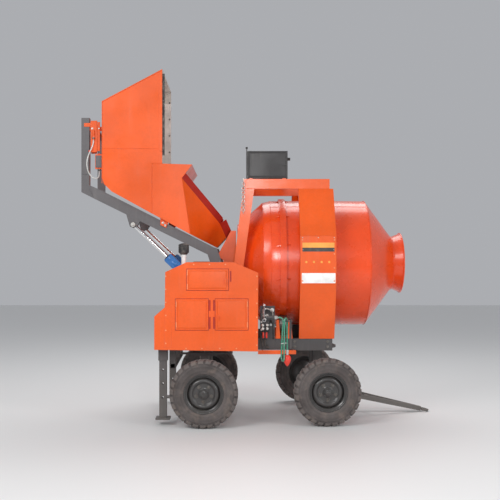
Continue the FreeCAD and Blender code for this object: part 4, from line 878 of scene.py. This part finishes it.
def hopper_trim():
    """Weld seams, rolled rims, ribs and the strips in the bucket's mouth."""
    seams = Build()
    for s in (-1, 1):
        face = s * (SIDE + 0.0005)
        seams.bead([(-1.756, face, 3.02), (-1.1, face, 3.02)], 0.0032)
        seams.bead([(SPOUT_BACK, face, 2.852), (SPOUT_BACK, face, 2.312)], 0.0042)
        seams.bead([(SPOUT_BACK, face, 2.855), (-1.1, face, 2.855)], 0.0042)
        seams.bead([(-0.881, face, 2.694), (-0.792, face, 2.084)], 0.004)
        seams.bead([(-1.7585, face, 3.535), (-1.7585, face, 2.64)], 0.0038)
    seams.bead([(BUCKET_BACK, -SIDE + 0.004, 3.02), (BUCKET_BACK, SIDE - 0.004, 3.02)], 0.0032)
    seams.done("hopper_weld_seams", "orange", "hopper", "orange_paint", smooth=60)
    ribs = Build()
    slope = Vector((0.662, 0, 0.351)).normalized()
    for s in (-1, 1):
        start = Vector((-1.757, s * (SIDE + 0.001), 3.537))
        ribs.sweep([start + slope * (0.745 * i / 12) for i in range(13)], 0.0058, 10)
    back_rim = [(-1.757, -SIDE + 0.11 * i, 3.542) for i in range(13)] + [(-1.757, SIDE, 3.542)]
    ribs.sweep(back_rim, 0.006, 10)
    for z in (2.78, 3.4):
        for y0 in (-0.5, 0.06):
            ribs.slab([(0, 0), (0.44, 0), (0.44, 0.045), (0, 0.045)], (-1.7592, y0 + 0.44, z),
                      -Y, Z, 0.006)
    ribs.done("bucket_rim_and_ribs", "orange", "hopper", "orange_paint", bevel=0.0015)
    near = Build()
    near.box((-1.0965, -SIDE + 0.002, 2.945), (-1.07, -SIDE + 0.012, 3.845))
    near_strip = near.done("mouth_strip_near", "rubber", "hopper", "black_rubber", bevel=0.002)
    far = Build()
    far.box((-1.34, SIDE - 0.014, 2.9), (-1.099, SIDE - 0.0065, 3.74))
    far.done("mouth_belting_far", "beige", "hopper", "black_rubber", bevel=0.002)
    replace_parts(near_strip, "mouth_strips")
    bolts = Build()
    for z in (3.136, 3.342, 3.547, 3.752):
        bolts.bolt((-1.0845, -SIDE + 0.0022, z), -Y, 0.0055)
        bolts.dome((-1.115, SIDE - 0.014, z), -Y, 0.01, 0.005)
    bolts.done("mouth_strip_bolts", "machined", "hopper", "zinc")


def spout_flange():
    """Turned flange that stands up along the top edge of the narrowing nose; its dark red is
    painted shade.
    """
    flange = Build()
    width, wall = 0.088, 0.004
    # top and bottom (x, z) of the spout's side at each fold, with its half width there
    rows = (((-0.881, 2.697), (-0.79, 2.079), SIDE), ((-0.468, 2.211), (-0.61, 1.988), 0.3),
            ((-0.395, 2.048), (-0.504, 1.934), 0.2))
    for s in (-1, 1):
        for (top0, low0, y0), (top1, _, y1) in zip(rows, rows[1:]):
            start, end = Vector((top0[0], s * y0, top0[1])), Vector((top1[0], s * y1, top1[1]))
            foot = Vector((low0[0], s * y0, low0[1]))
            run = (end - start).normalized()
            up = start - foot
            up = (up - run * up.dot(run)).normalized()
            out = run.cross(up).normalized()
            out = out if out.y * s > 0 else -out
            corners = [p + up * d + out * o for p in (start, end) for d in (-0.002, width)
                       for o in (-wall, 0.0008)]
            flange.add(corners, [(0, 1, 3, 2), (4, 6, 7, 5), (0, 4, 5, 1), (2, 3, 7, 6),
                                 (0, 2, 6, 4), (1, 5, 7, 3)])
    flange.done("spout_flanges", "shadow_red", "hopper", "orange_paint")


def cell_details():
    """Bolts, lock plates and drain tabs round the weighing mounts and the junction box."""
    b = Build()
    for s in (-1, 1):
        for x, z in ((-1.093, 2.205), (-1.066, 2.178)):
            b.bolt((x, s * 0.6325, z), Y * s, 0.0095)
        for x in (-1.875, -1.8):
            b.bolt((x, s * 0.6265, 3.2475), Y * s, 0.0085)
        for z in (3.02, 3.09, 3.16):
            b.bolt((-1.868, s * 0.5505, z), Y * s, 0.0075)
    for z in (2.825, 2.935):
        for x in (-1.825, -1.773):
            b.dome((x, -0.6502, z), -Y, 0.0055, 0.003)
    b.done("weighing_bolts", "zinc", "hopper", "zinc")
    cover = Build()
    for s in (-1, 1):
        y0, y1 = sorted((s * 0.606, s * 0.626))
        cover.box((-1.893, y0, 2.987), (-1.821, y1, 3.335))
        cover.box((-1.818, y0 - 0.004, 3.0), (-1.79, y1 - 0.01, 3.32))
        y0, y1 = sorted((s * 0.6205, s * 0.6245))
        cover.box((-1.967, y0, 3.268), (-1.8935, y1, 3.31))
    cover.done("weighing_channels", "orange", "hopper", "orange_paint", bevel=0.003)
    knobs = Build()
    for x, z in ((-1.905, 2.998), (-1.8, 2.96)):
        knobs.dome((x, -0.6205, z), -Y, 0.014, 0.012)
    knobs.done("cable_clip_caps", "red", "hopper", "nozzle_red")
    lid = Build()
    raised_plate(lid, (-1.834, -1.764, 2.812, 2.948), -0.65, -1,
                 [(0, 0), (0, 0.004), (0.002, 0.006), (0.008, 0.0065), (0.01, 0.0085)], 0.006)
    lid.done("junction_box_lid", "arm", "hopper", "arm_grey")
    glands = Build()
    for place in ((-1.796, -0.63, 2.801), (-1.86, -0.636, 3.148)):
        glands.lathe([(0, 0.0075), (0, 0.015), (0.012, 0.015), (0.012, 0.012),
                      (0.024, 0.0105), (0.026, 0.008)], place, -Z, 24)
    glands.done("cable_gland_nuts", "machined", "hopper", "machined")


def arm_details():
    """Weld lines and pin caps of the hopper arms."""
    welds = Build()
    pins = Build()
    for s in (-1, 1):
        face = s * 0.6205
        welds.bead([(-1.992, face, 2.742), (-1.91, face, 2.742)], 0.003)
        welds.bead([(-1.912, face, 2.6), (-1.866, face, 2.498)], 0.003)
        for centre, radius in (((-0.5, s * 0.6915, 1.62), 0.034),
                               ((-1.423, s * 0.6285, 2.185), 0.027)):
            pins.turned([(0, radius), (0.01, radius), (0.013, radius * 0.9)], centre, Y * s, 40)
            pins.bolt(Vector(centre) + Y * s * 0.013, Y * s, radius * 0.48)
    welds.done("arm_weld_lines", "arm", "hopper", "arm_grey", smooth=60)
    pins.done("arm_pin_caps", "zinc", "hopper", "zinc")


# ---------------------------------------------------------------- housing
def hinge(b, x, y, z, half):
    """A small butt hinge with its pin upright."""
    for foot, top in ((-1, -0.35), (-0.33, 0.33), (0.35, 1)):
        b.rod(0.0062, (x, y, z + half * foot), (x, y, z + half * top), 16, 0.001)
    for way in (1, -1):
        b.dome((x, y, z + way * half), Z * way, 0.0048, 0.004)


def doors():
    """Pressed skins, hinges and the dark gaps round the three service doors; the gaps are dark red
    strips of painted shade, and the pale hinge strips are a painted highlight.
    """
    pressed = [(0, 0), (0, 0.0065), (0.002, 0.0085), (0.018, 0.0087), (0.0235, 0.015),
               (0.026, 0.017), (0.031, 0.0176)]
    gap = 0.0055
    gaps = Build()
    for node, side in (("upper_door", -1), ("lower_door_left", -1), ("lower_door_right", 1)):
        low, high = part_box(node)
        skin = Build()
        raised_plate(skin, (low.x, high.x, low.z, high.z), high.y, -1, pressed, 0.009)
        strips = ((low.x - gap, low.x, low.z - gap, high.z + gap),
                  (high.x, high.x + gap, low.z - gap, high.z + gap),
                  (low.x, high.x, low.z - gap, low.z), (low.x, high.x, high.z, high.z + gap))
        # Dark red strips round each door: painted shade in the gaps.
        for x0, x1, z0, z1 in strips:
            gaps.box((x0, high.y - 0.0003, z0), (x1, high.y + 0.002, z1))
        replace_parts(skin.done(node + "_pressing", "panel", node, "orange_paint", smooth=28), node)
        pins = Build()
        pivot = Vector(joint_of[node]["pos_m"])
        leaf = -0.03 * side
        left, right = sorted((pivot.x, pivot.x + leaf))
        tall = high.z - low.z
        for z in (low.z + tall * 0.17, high.z - tall * 0.17):
            hinge(pins, pivot.x, pivot.y, z, 0.026)
            pins.box((left, high.y - 0.007, z - 0.016), (right, high.y - 0.005, z + 0.016))
            for dz in (-0.009, 0.009):
                screw = (pivot.x + leaf * 0.68, high.y - 0.007, z + dz)
                pins.dome(screw, -Y, 0.0035, 0.0018)
        # A pale orange strip along the hinge edge: a painted highlight of the lit door edge.
        edge = low.x + 0.003 if side < 0 else high.x - 0.006
        pins.box((edge, high.y - 0.011, low.z + 0.012),
                 (edge + 0.003, high.y - 0.007, high.z - 0.012))
        pins.done(node + "_hinges", "pale", node, "orange_paint", bevel=0.0005)
    gaps.done("door_gap_shadows", "shadow_red", "chassis", "orange_paint")


def slots_and_seams():
    """Dark red plates of painted shade for the finger slots beside the latches, and the lap joint
    of the near panel.
    """
    dark = Build()
    left_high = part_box("lower_door_left")[1]
    low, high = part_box("lower_door_right")
    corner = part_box("upper_door")[1]
    face = left_high.y + 0.0002
    middle = (left_high.x + low.x) / 2
    tall = high.z - low.z
    spans = ((low.z + 0.012, low.z + tall * 0.42), (low.z + tall * 0.62, high.z - 0.012))
    for x in (middle - 0.0225, middle + 0.0225):
        for z0, z1 in spans:
            flat_plate(dark, (x - 0.0085, x + 0.0085, z0, z1), face, 0.0012, 0.004)
    flat_plate(dark, (corner.x + 0.016, corner.x + 0.032, corner.z - 0.135, corner.z - 0.02),
               face, 0.0012, 0.004)
    dark.done("door_slot_painted_shade", "shadow_red", "chassis", "orange_paint")
    lap = Build()
    lap.slab([(0, 0), (0.075, 0), (0.075, 0.4), (0, 0.4)], (-1.05, -PANEL_FACE, 0.852), X, Z,
             0.0028)
    lap.done("panel_lap_joint", "panel", "chassis", "orange_paint", bevel=0.001)


def louvres(name, place, along, out, rows, columns, width, pitch):
    """Rows of pressed cooling louvres; each is a half-round hood over a slot."""
    b = Build()
    steps = 9
    for r in range(rows):
        for c in range(columns):
            root = Vector(place) + Z * (r * pitch) + along * (c * (width + 0.03))
            verts = []
            for i in range(steps):
                t = i / (steps - 1)
                rise = 0.011 * math.sin(math.pi * t) ** 0.45
                here = root + along * (width * t)
                verts += [here + out * (rise + 0.0006),
                          here + Z * (pitch * 0.52) + out * 0.0006, here + out * 0.0004]
            faces = []
            for a in range(0, 3 * (steps - 1), 3):
                faces += [(a, a + 1, a + 4, a + 3), (a, a + 3, a + 5, a + 2),
                          (a + 1, a + 2, a + 5, a + 4)]
            b.add(verts, faces)
    b.done(name, "panel", "chassis", "orange_paint", smooth=50)


def housing():
    doors()
    slots_and_seams()
    low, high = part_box("engine_hood")
    louvres("far_panel_louvres", (-0.3, 0.9203, 1.05), -X, Y, 9, 3, 0.17, 0.042)
    louvres("hood_side_louvres", (-0.56, high.y + 0.0003, 1.1), -X, Y, 7, 2, 0.14, 0.04)
    louvres("hood_side_louvres_near", (-0.84, low.y - 0.0003, 1.1), X, -Y, 7, 2, 0.14, 0.04)
    screws = Build()
    for i in range(12):
        for z in (0.853, 1.64):
            screws.dome((-1.02 + 0.072 * i, 0.9201, z), Y, 0.0065, 0.0035)
    screws.done("far_panel_rivets", "zinc", "chassis", "zinc")


def guard_labels():
    """A blank maker's band and a blank white plate; neither carries any lettering."""
    y = -PANEL_FACE
    for name, mat, box, thick, radius in (
            ("guard_band_amber", "amber", (0.428, 0.772, 1.928, 1.981), 0.0008, 0.003),
            ("guard_band_charcoal", "decal_dark", (0.428, 0.772, 1.885, 1.926), 0.0008, 0.003),
            ("guard_blank_plate", "label", (0.421, 0.783, 1.545, 1.654), 0.001, 0.004)):
        b = Build()
        flat_plate(b, box, y, thick, radius)
        b.done(name, mat, "chassis", "orange_paint")
    marks = Build()
    for i in range(4):
        marks.turned([(0, 0.012), (0.0008, 0.012)], (0.47 + 0.082 * i, y, 1.773), -Y, 32)
    marks.done("guard_round_marks", "amber", "chassis", "orange_paint")
    rivets = Build()
    for z in (1.905, 1.6):
        for x in (0.434, 0.766):
            rivets.dome((x, y - 0.0008, z), -Y, 0.0042, 0.002)
    for x in (0.43, 0.6, 0.77):
        for s in (-1, 1):
            rivets.dome((x, s * PANEL_FACE, 2.035), Y * s, 0.006, 0.0035)
    rivets.done("guard_rivets", "zinc", "chassis", "zinc")


# ---------------------------------------------------------------- cabinet, precleaner, valves
def cabinet():
    """A pressed door panel, glands under the box and vent bars on its side."""
    low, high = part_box("cabinet_door")
    b = Build()
    rim_in = 0.004
    raised_plate(b, (low.x + rim_in, high.x - rim_in, low.z + rim_in, high.z - rim_in),
                 low.y + 0.0145, -1,
                 [(0, 0), (0, 0.001), (0.01, 0.0012), (0.014, 0.0035), (0.022, 0.0038)], 0.008)
    b.done("cabinet_door_swage", "cabinet", "cabinet_door", "cabinet_black")
    glands = Build()
    for i in range(4):
        glands.turned([(0, 0.017), (0.012, 0.017), (0.014, 0.0135), (0.026, 0.0115)],
                      (-0.1 + 0.085 * i, -0.4, 2.7), -Z, 12)
    glands.done("cabinet_glands", "rubber", "chassis", "black_rubber")
    vents = Build()
    for i in range(6):
        vents.box((0.288, -0.535, 2.76 + 0.016 * i), (0.2895, -0.355, 2.768 + 0.016 * i))
    vents.done("cabinet_vent_bars", "cabinet", "chassis", "cabinet_black", bevel=0.0005)


def precleaner():
    """Air precleaner: pale pipe, clamp and a ribbed dark bowl with a domed lid."""
    low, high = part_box("precleaner")
    centre = ((low.x + high.x) / 2, (low.y + high.y) / 2, 0)
    bowl_low = high.z - 0.125
    pipe = Build()
    pipe.turned([(low.z + 0.003, 0.0255), (bowl_low + 0.004, 0.0255)], centre, Z, 40)
    pipe.lathe(arc((bowl_low - 0.022, 0.0265), 0.004, 0, 324, 9), centre, Z, 40)
    stand = pipe.done("precleaner_pipe", "label", "chassis", "steel")
    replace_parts(stand, "precleaner")
    bowl = Build()
    radius = 0.0575
    bowl.lathe([(bowl_low, 0.0), (bowl_low, 0.036), (bowl_low + 0.014, 0.046),
                (bowl_low + 0.022, radius - 0.003), (high.z - 0.034, radius - 0.003),
                (high.z - 0.03, radius), (high.z - 0.02, radius),
                (high.z - 0.014, radius - 0.006), (high.z - 0.003, 0.02),
                (high.z - 0.001, 0.0)], centre, Z, 72, closed=False)
    for t in turns(22):
        out = Vector((math.cos(t), math.sin(t), 0))
        root = Vector(centre) + out * (radius - 0.0045)
        bowl.rod(0.0042, root + Z * (bowl_low + 0.022), root + Z * (high.z - 0.036), 10, 0.001)
    bowl.done("precleaner_bowl", "rubber", "chassis", "black_rubber")


def pipe_run(b, points, radius, sides=14, steps=6):
    """A bent pipe with rounded corners through a few points."""
    points = [Vector(p) for p in points]
    line = [points[0]]
    for before, here, after in zip(points, points[1:], points[2:]):
        reach = min((here - before).length, (after - here).length) * 0.4
        a = here + (before - here).normalized() * reach
        c = here + (after - here).normalized() * reach
        line += [a.lerp(here, t).lerp(here.lerp(c, t), t)
                 for t in (i / steps for i in range(steps + 1))]
    line.append(points[-1])
    b.sweep(line, radius, sides)


def valve_bank():
    """Spool caps, unions, relief screws and hard pipes on the control valve and its stand."""
    silver, black, red, white = Build(), Build(), Build(), Build()
    front, stand = -0.7955, -0.7105             # near faces of the valve block and of its stand
    dial_x, dial_z = 0.11, 1.245
    for x in (0.005, 0.055):
        for z in (1.05, 1.088):
            silver.lathe([(0, 0), (0, 0.0165), (0.01, 0.0165), (0.012, 0.013),
                          (0.026, 0.012), (0.028, 0)], (x, front - 0.0225, z), -Y, 6,
                         closed=False)
    for x, z, size in ((0.02, 1.19, 0.012), (0.052, 1.193, 0.01), (-0.008, 1.036, 0.0075),
                       (-0.008, 1.12, 0.0075)):
        silver.bolt((x, front, z), -Y, size)
    silver.turned([(0, 0.0215), (0.022, 0.0215), (0.024, 0.0175), (0.036, 0.0175)],
                  (0.129, -0.9, 1.176), X, 6)
    silver.turned([(0, 0.019), (0.018, 0.019)], (0.06, -0.83, 1.176), -Y, 6)
    pipe_run(silver, [(0.012, -0.77, 1.21), (0.012, -0.77, 1.262), (0.06, -0.77, 1.262),
                      (0.112, -0.745, 1.24), (0.118, -0.722, 1.19)], 0.008)
    for x in (0.012, 0.048):
        red.turned([(0, 0.0105), (0.06, 0.0105), (0.064, 0.008)], (x, -0.77, 0.944), Z, 20)
    black.turned([(0, 0.026), (0.02, 0.026), (0.022, 0.024)], (dial_x, -0.7101, dial_z), -Y, 40)
    pipe_run(black, [(0.03, -0.77, 0.94), (0.03, -0.77, 0.875), (0.07, -0.74, 0.835)],
             0.0095)
    pipe_run(black, [(-0.006, -0.76, 1.03), (-0.006, -0.76, 0.93), (0.01, -0.73, 0.85)],
             0.0095)
    pipe_run(black, [(0.094, stand, 1.13), (0.094, -0.76, 1.13), (0.12, -0.762, 1.08),
                     (0.124, -0.745, 0.96), (0.124, stand, 0.93)], 0.0085)
    white.turned([(0, 0.0225), (0.0012, 0.0225)], (dial_x, -0.7323, dial_z), -Y, 40)
    for place in ((0.096, stand, 1.085), (0.03, front, 1.15)):
        white.lathe([(0, 0), (0, 0.012), (0.012, 0.0145), (0.022, 0.0135), (0.026, 0.0)], place,
                    -Y, 28, closed=False)
    silver.done("valve_unions", "zinc", "chassis", "zinc")
    black.done("valve_hoses", "rubber", "chassis", "black_rubber")
    red.done("valve_stem_sleeves", "red", "chassis", "nozzle_red")
    white.done("valve_knobs_and_dial", "white", "chassis", "cable_grey")
    plate = Build()
    for x in (0.15, 0.283):
        plate.slab([(0, 0), (0.052, 0), (0.036, 0.205), (0.008, 0.205)], (x, -0.7015, 0.9315),
                   X, Z, 0.008)
    plate.done("front_bracket_plates", "orange", "chassis", "orange_paint", bevel=0.0015)


# ---------------------------------------------------------------- fasteners of the running gear
def chassis_fasteners():
    """Bolts of the rails, axle and turntable, and the jacks' foot bolts and locking pins."""
    b = Build()
    for s in (-1, 1):
        for x in (-0.36, -0.12, 0.36, 0.72):
            for z in (0.842, 0.898):
                b.bolt((x, s * 0.7002, z), Y * s, 0.0125)
        for x in (-0.529, -0.431):
            for y in (s * 0.52, s * 0.64):
                b.bolt((x, y, 0.9432), Z, 0.0125)
        for x in (-0.674, -0.584):
            for y in (s * 0.645, s * 0.705):
                b.rod(0.0075, (x, y, 0.395), (x, y, 0.742), 14, 0.001)
                b.bolt((x, y, 0.392), -Z, 0.0125)
    for t in turns(12):
        b.bolt((0.645 + 0.205 * math.cos(t), 0.205 * math.sin(t), 0.8), Z, 0.012)
    b.done("chassis_bolts", "machined", "chassis", "machined")
    jack_x, jack_y, pin_z, ring = -1.08, 0.75, 0.868, 0.016
    pins = Build()
    for s, name in SIDES:
        foot = Build()
        middle = s * jack_y
        for dx in (-0.058, 0.058):
            for dy in (-0.058, 0.058):
                foot.bolt((jack_x + dx, middle + dy, 0.0725), Z, 0.0085)
        foot.done(f"jack_foot_bolts_{name}", "machined", f"jack_leg_{name}", "machined")
        for side in (-1, 1):
            pins.rod(0.009, (jack_x, middle + side * 0.0502, pin_z),
                     (jack_x, middle + side * 0.075, pin_z), 18, 0.0015)
        pins.sweep([(jack_x + ring * math.sin(t), middle - 0.07, pin_z - ring - ring * math.cos(t))
                    for t in (2 * math.pi * i / 24 for i in range(25))], 0.0022, 8)
    pins.done("jack_locking_pins", "zinc", "chassis", "zinc")


def frame_welds():
    """Weld beads at the top frame's corners and along the turned edges of the guards."""
    b = Build()
    for s in (-1, 1):
        y = s * 0.6065
        b.bead([(-0.207, y, 2.584), (-0.083, y, 2.584)], 0.0038)
        b.bead([(-0.205, y, 2.69), (-0.205, s * 0.548, 2.69)], 0.0038)
        for z in (2.053, 1.54):
            b.bead([(0.408, s * (PANEL_FACE + 0.0004), z), (0.791, s * (PANEL_FACE + 0.0004), z)],
                   0.0022)
    b.done("frame_weld_beads", "orange", "chassis", "orange_paint", smooth=60)


def lift_details():
    """Gland rings, gland bolts and rod wipers of the two lift cylinders."""
    gland = 0.7755                              # the gland's face, along the cylinder
    for s, name in SIDES:
        body = f"lift_barrel_{name}"
        base, eye = Vector((-0.48, s * 0.58, 1.289)), Vector((-1.423, s * 0.58, 2.185))
        along = (eye - base).normalized()
        up = along.cross(Y).normalized()
        up = up if up.z > 0 else -up
        b = Build()
        for t in (0.602, 0.773):
            b.lathe([(-0.003, 0.023), (-0.003, 0.047), (0.006, 0.047), (0.006, 0.023)],
                    base + along * t, along, 8)
        for dy in (-0.036, 0.036):
            for du in (-0.036, 0.036):
                b.bolt(base + along * gland + Y * dy + up * du, along, 0.0095)
        b.lathe([(0.615, 0.047), (0.625, 0.054), (0.665, 0.0565), (0.705, 0.054), (0.715, 0.047)],
                base, along, 40)
        b.lathe([(0.735, 0.047), (0.741, 0.0555), (0.765, 0.0555), (0.771, 0.047)],
                base, along, 40)
        b.done(f"gland_bolts_{name}", "blue", body, "cylinder_blue")
        wiper = Build()
        wiper.lathe([(0, 0.0232), (0, 0.034), (0.01, 0.033), (0.016, 0.026), (0.016, 0.0232)],
                    base + along * gland, along, 40)
        wiper.done(f"rod_wiper_{name}", "rubber", body, "black_rubber")


def engine_details():
    """Cooling fins on the engine."""
    fins = Build()
    centre = box_centre("engine")
    for i in range(12):
        z = 1.2 + 0.016 * i
        fins.box((centre.x - 0.105, centre.y - 0.15, z),
                 (centre.x + 0.105, centre.y - 0.02, z + 0.004))
    fins.done("engine_fins", "engine", "chassis", "engine_grey", bevel=0.001)


def drawbar_details():
    """End nuts of the drawbar hinge."""
    joint = joint_of["drawbar"]
    centre, axis = Vector(joint["pos_m"]), Vector(joint["axis"]).normalized()
    b = Build()
    for s in (-1, 1):
        b.bolt(centre + axis * s * 0.2665, axis * s, 0.02)
    b.done("drawbar_hinge_nuts", "machined", "steer_axle", "machined")


set_camera()
set_light()
set_floor()
mats = make_materials()
dress_nodes(mats)
cords()
wheels()
drum()
hopper_trim()
spout_flange()
cell_details()
arm_details()
housing()
guard_labels()
cabinet()
precleaner()
valve_bank()
chassis_fasteners()
frame_welds()
lift_details()
engine_details()
drawbar_details()
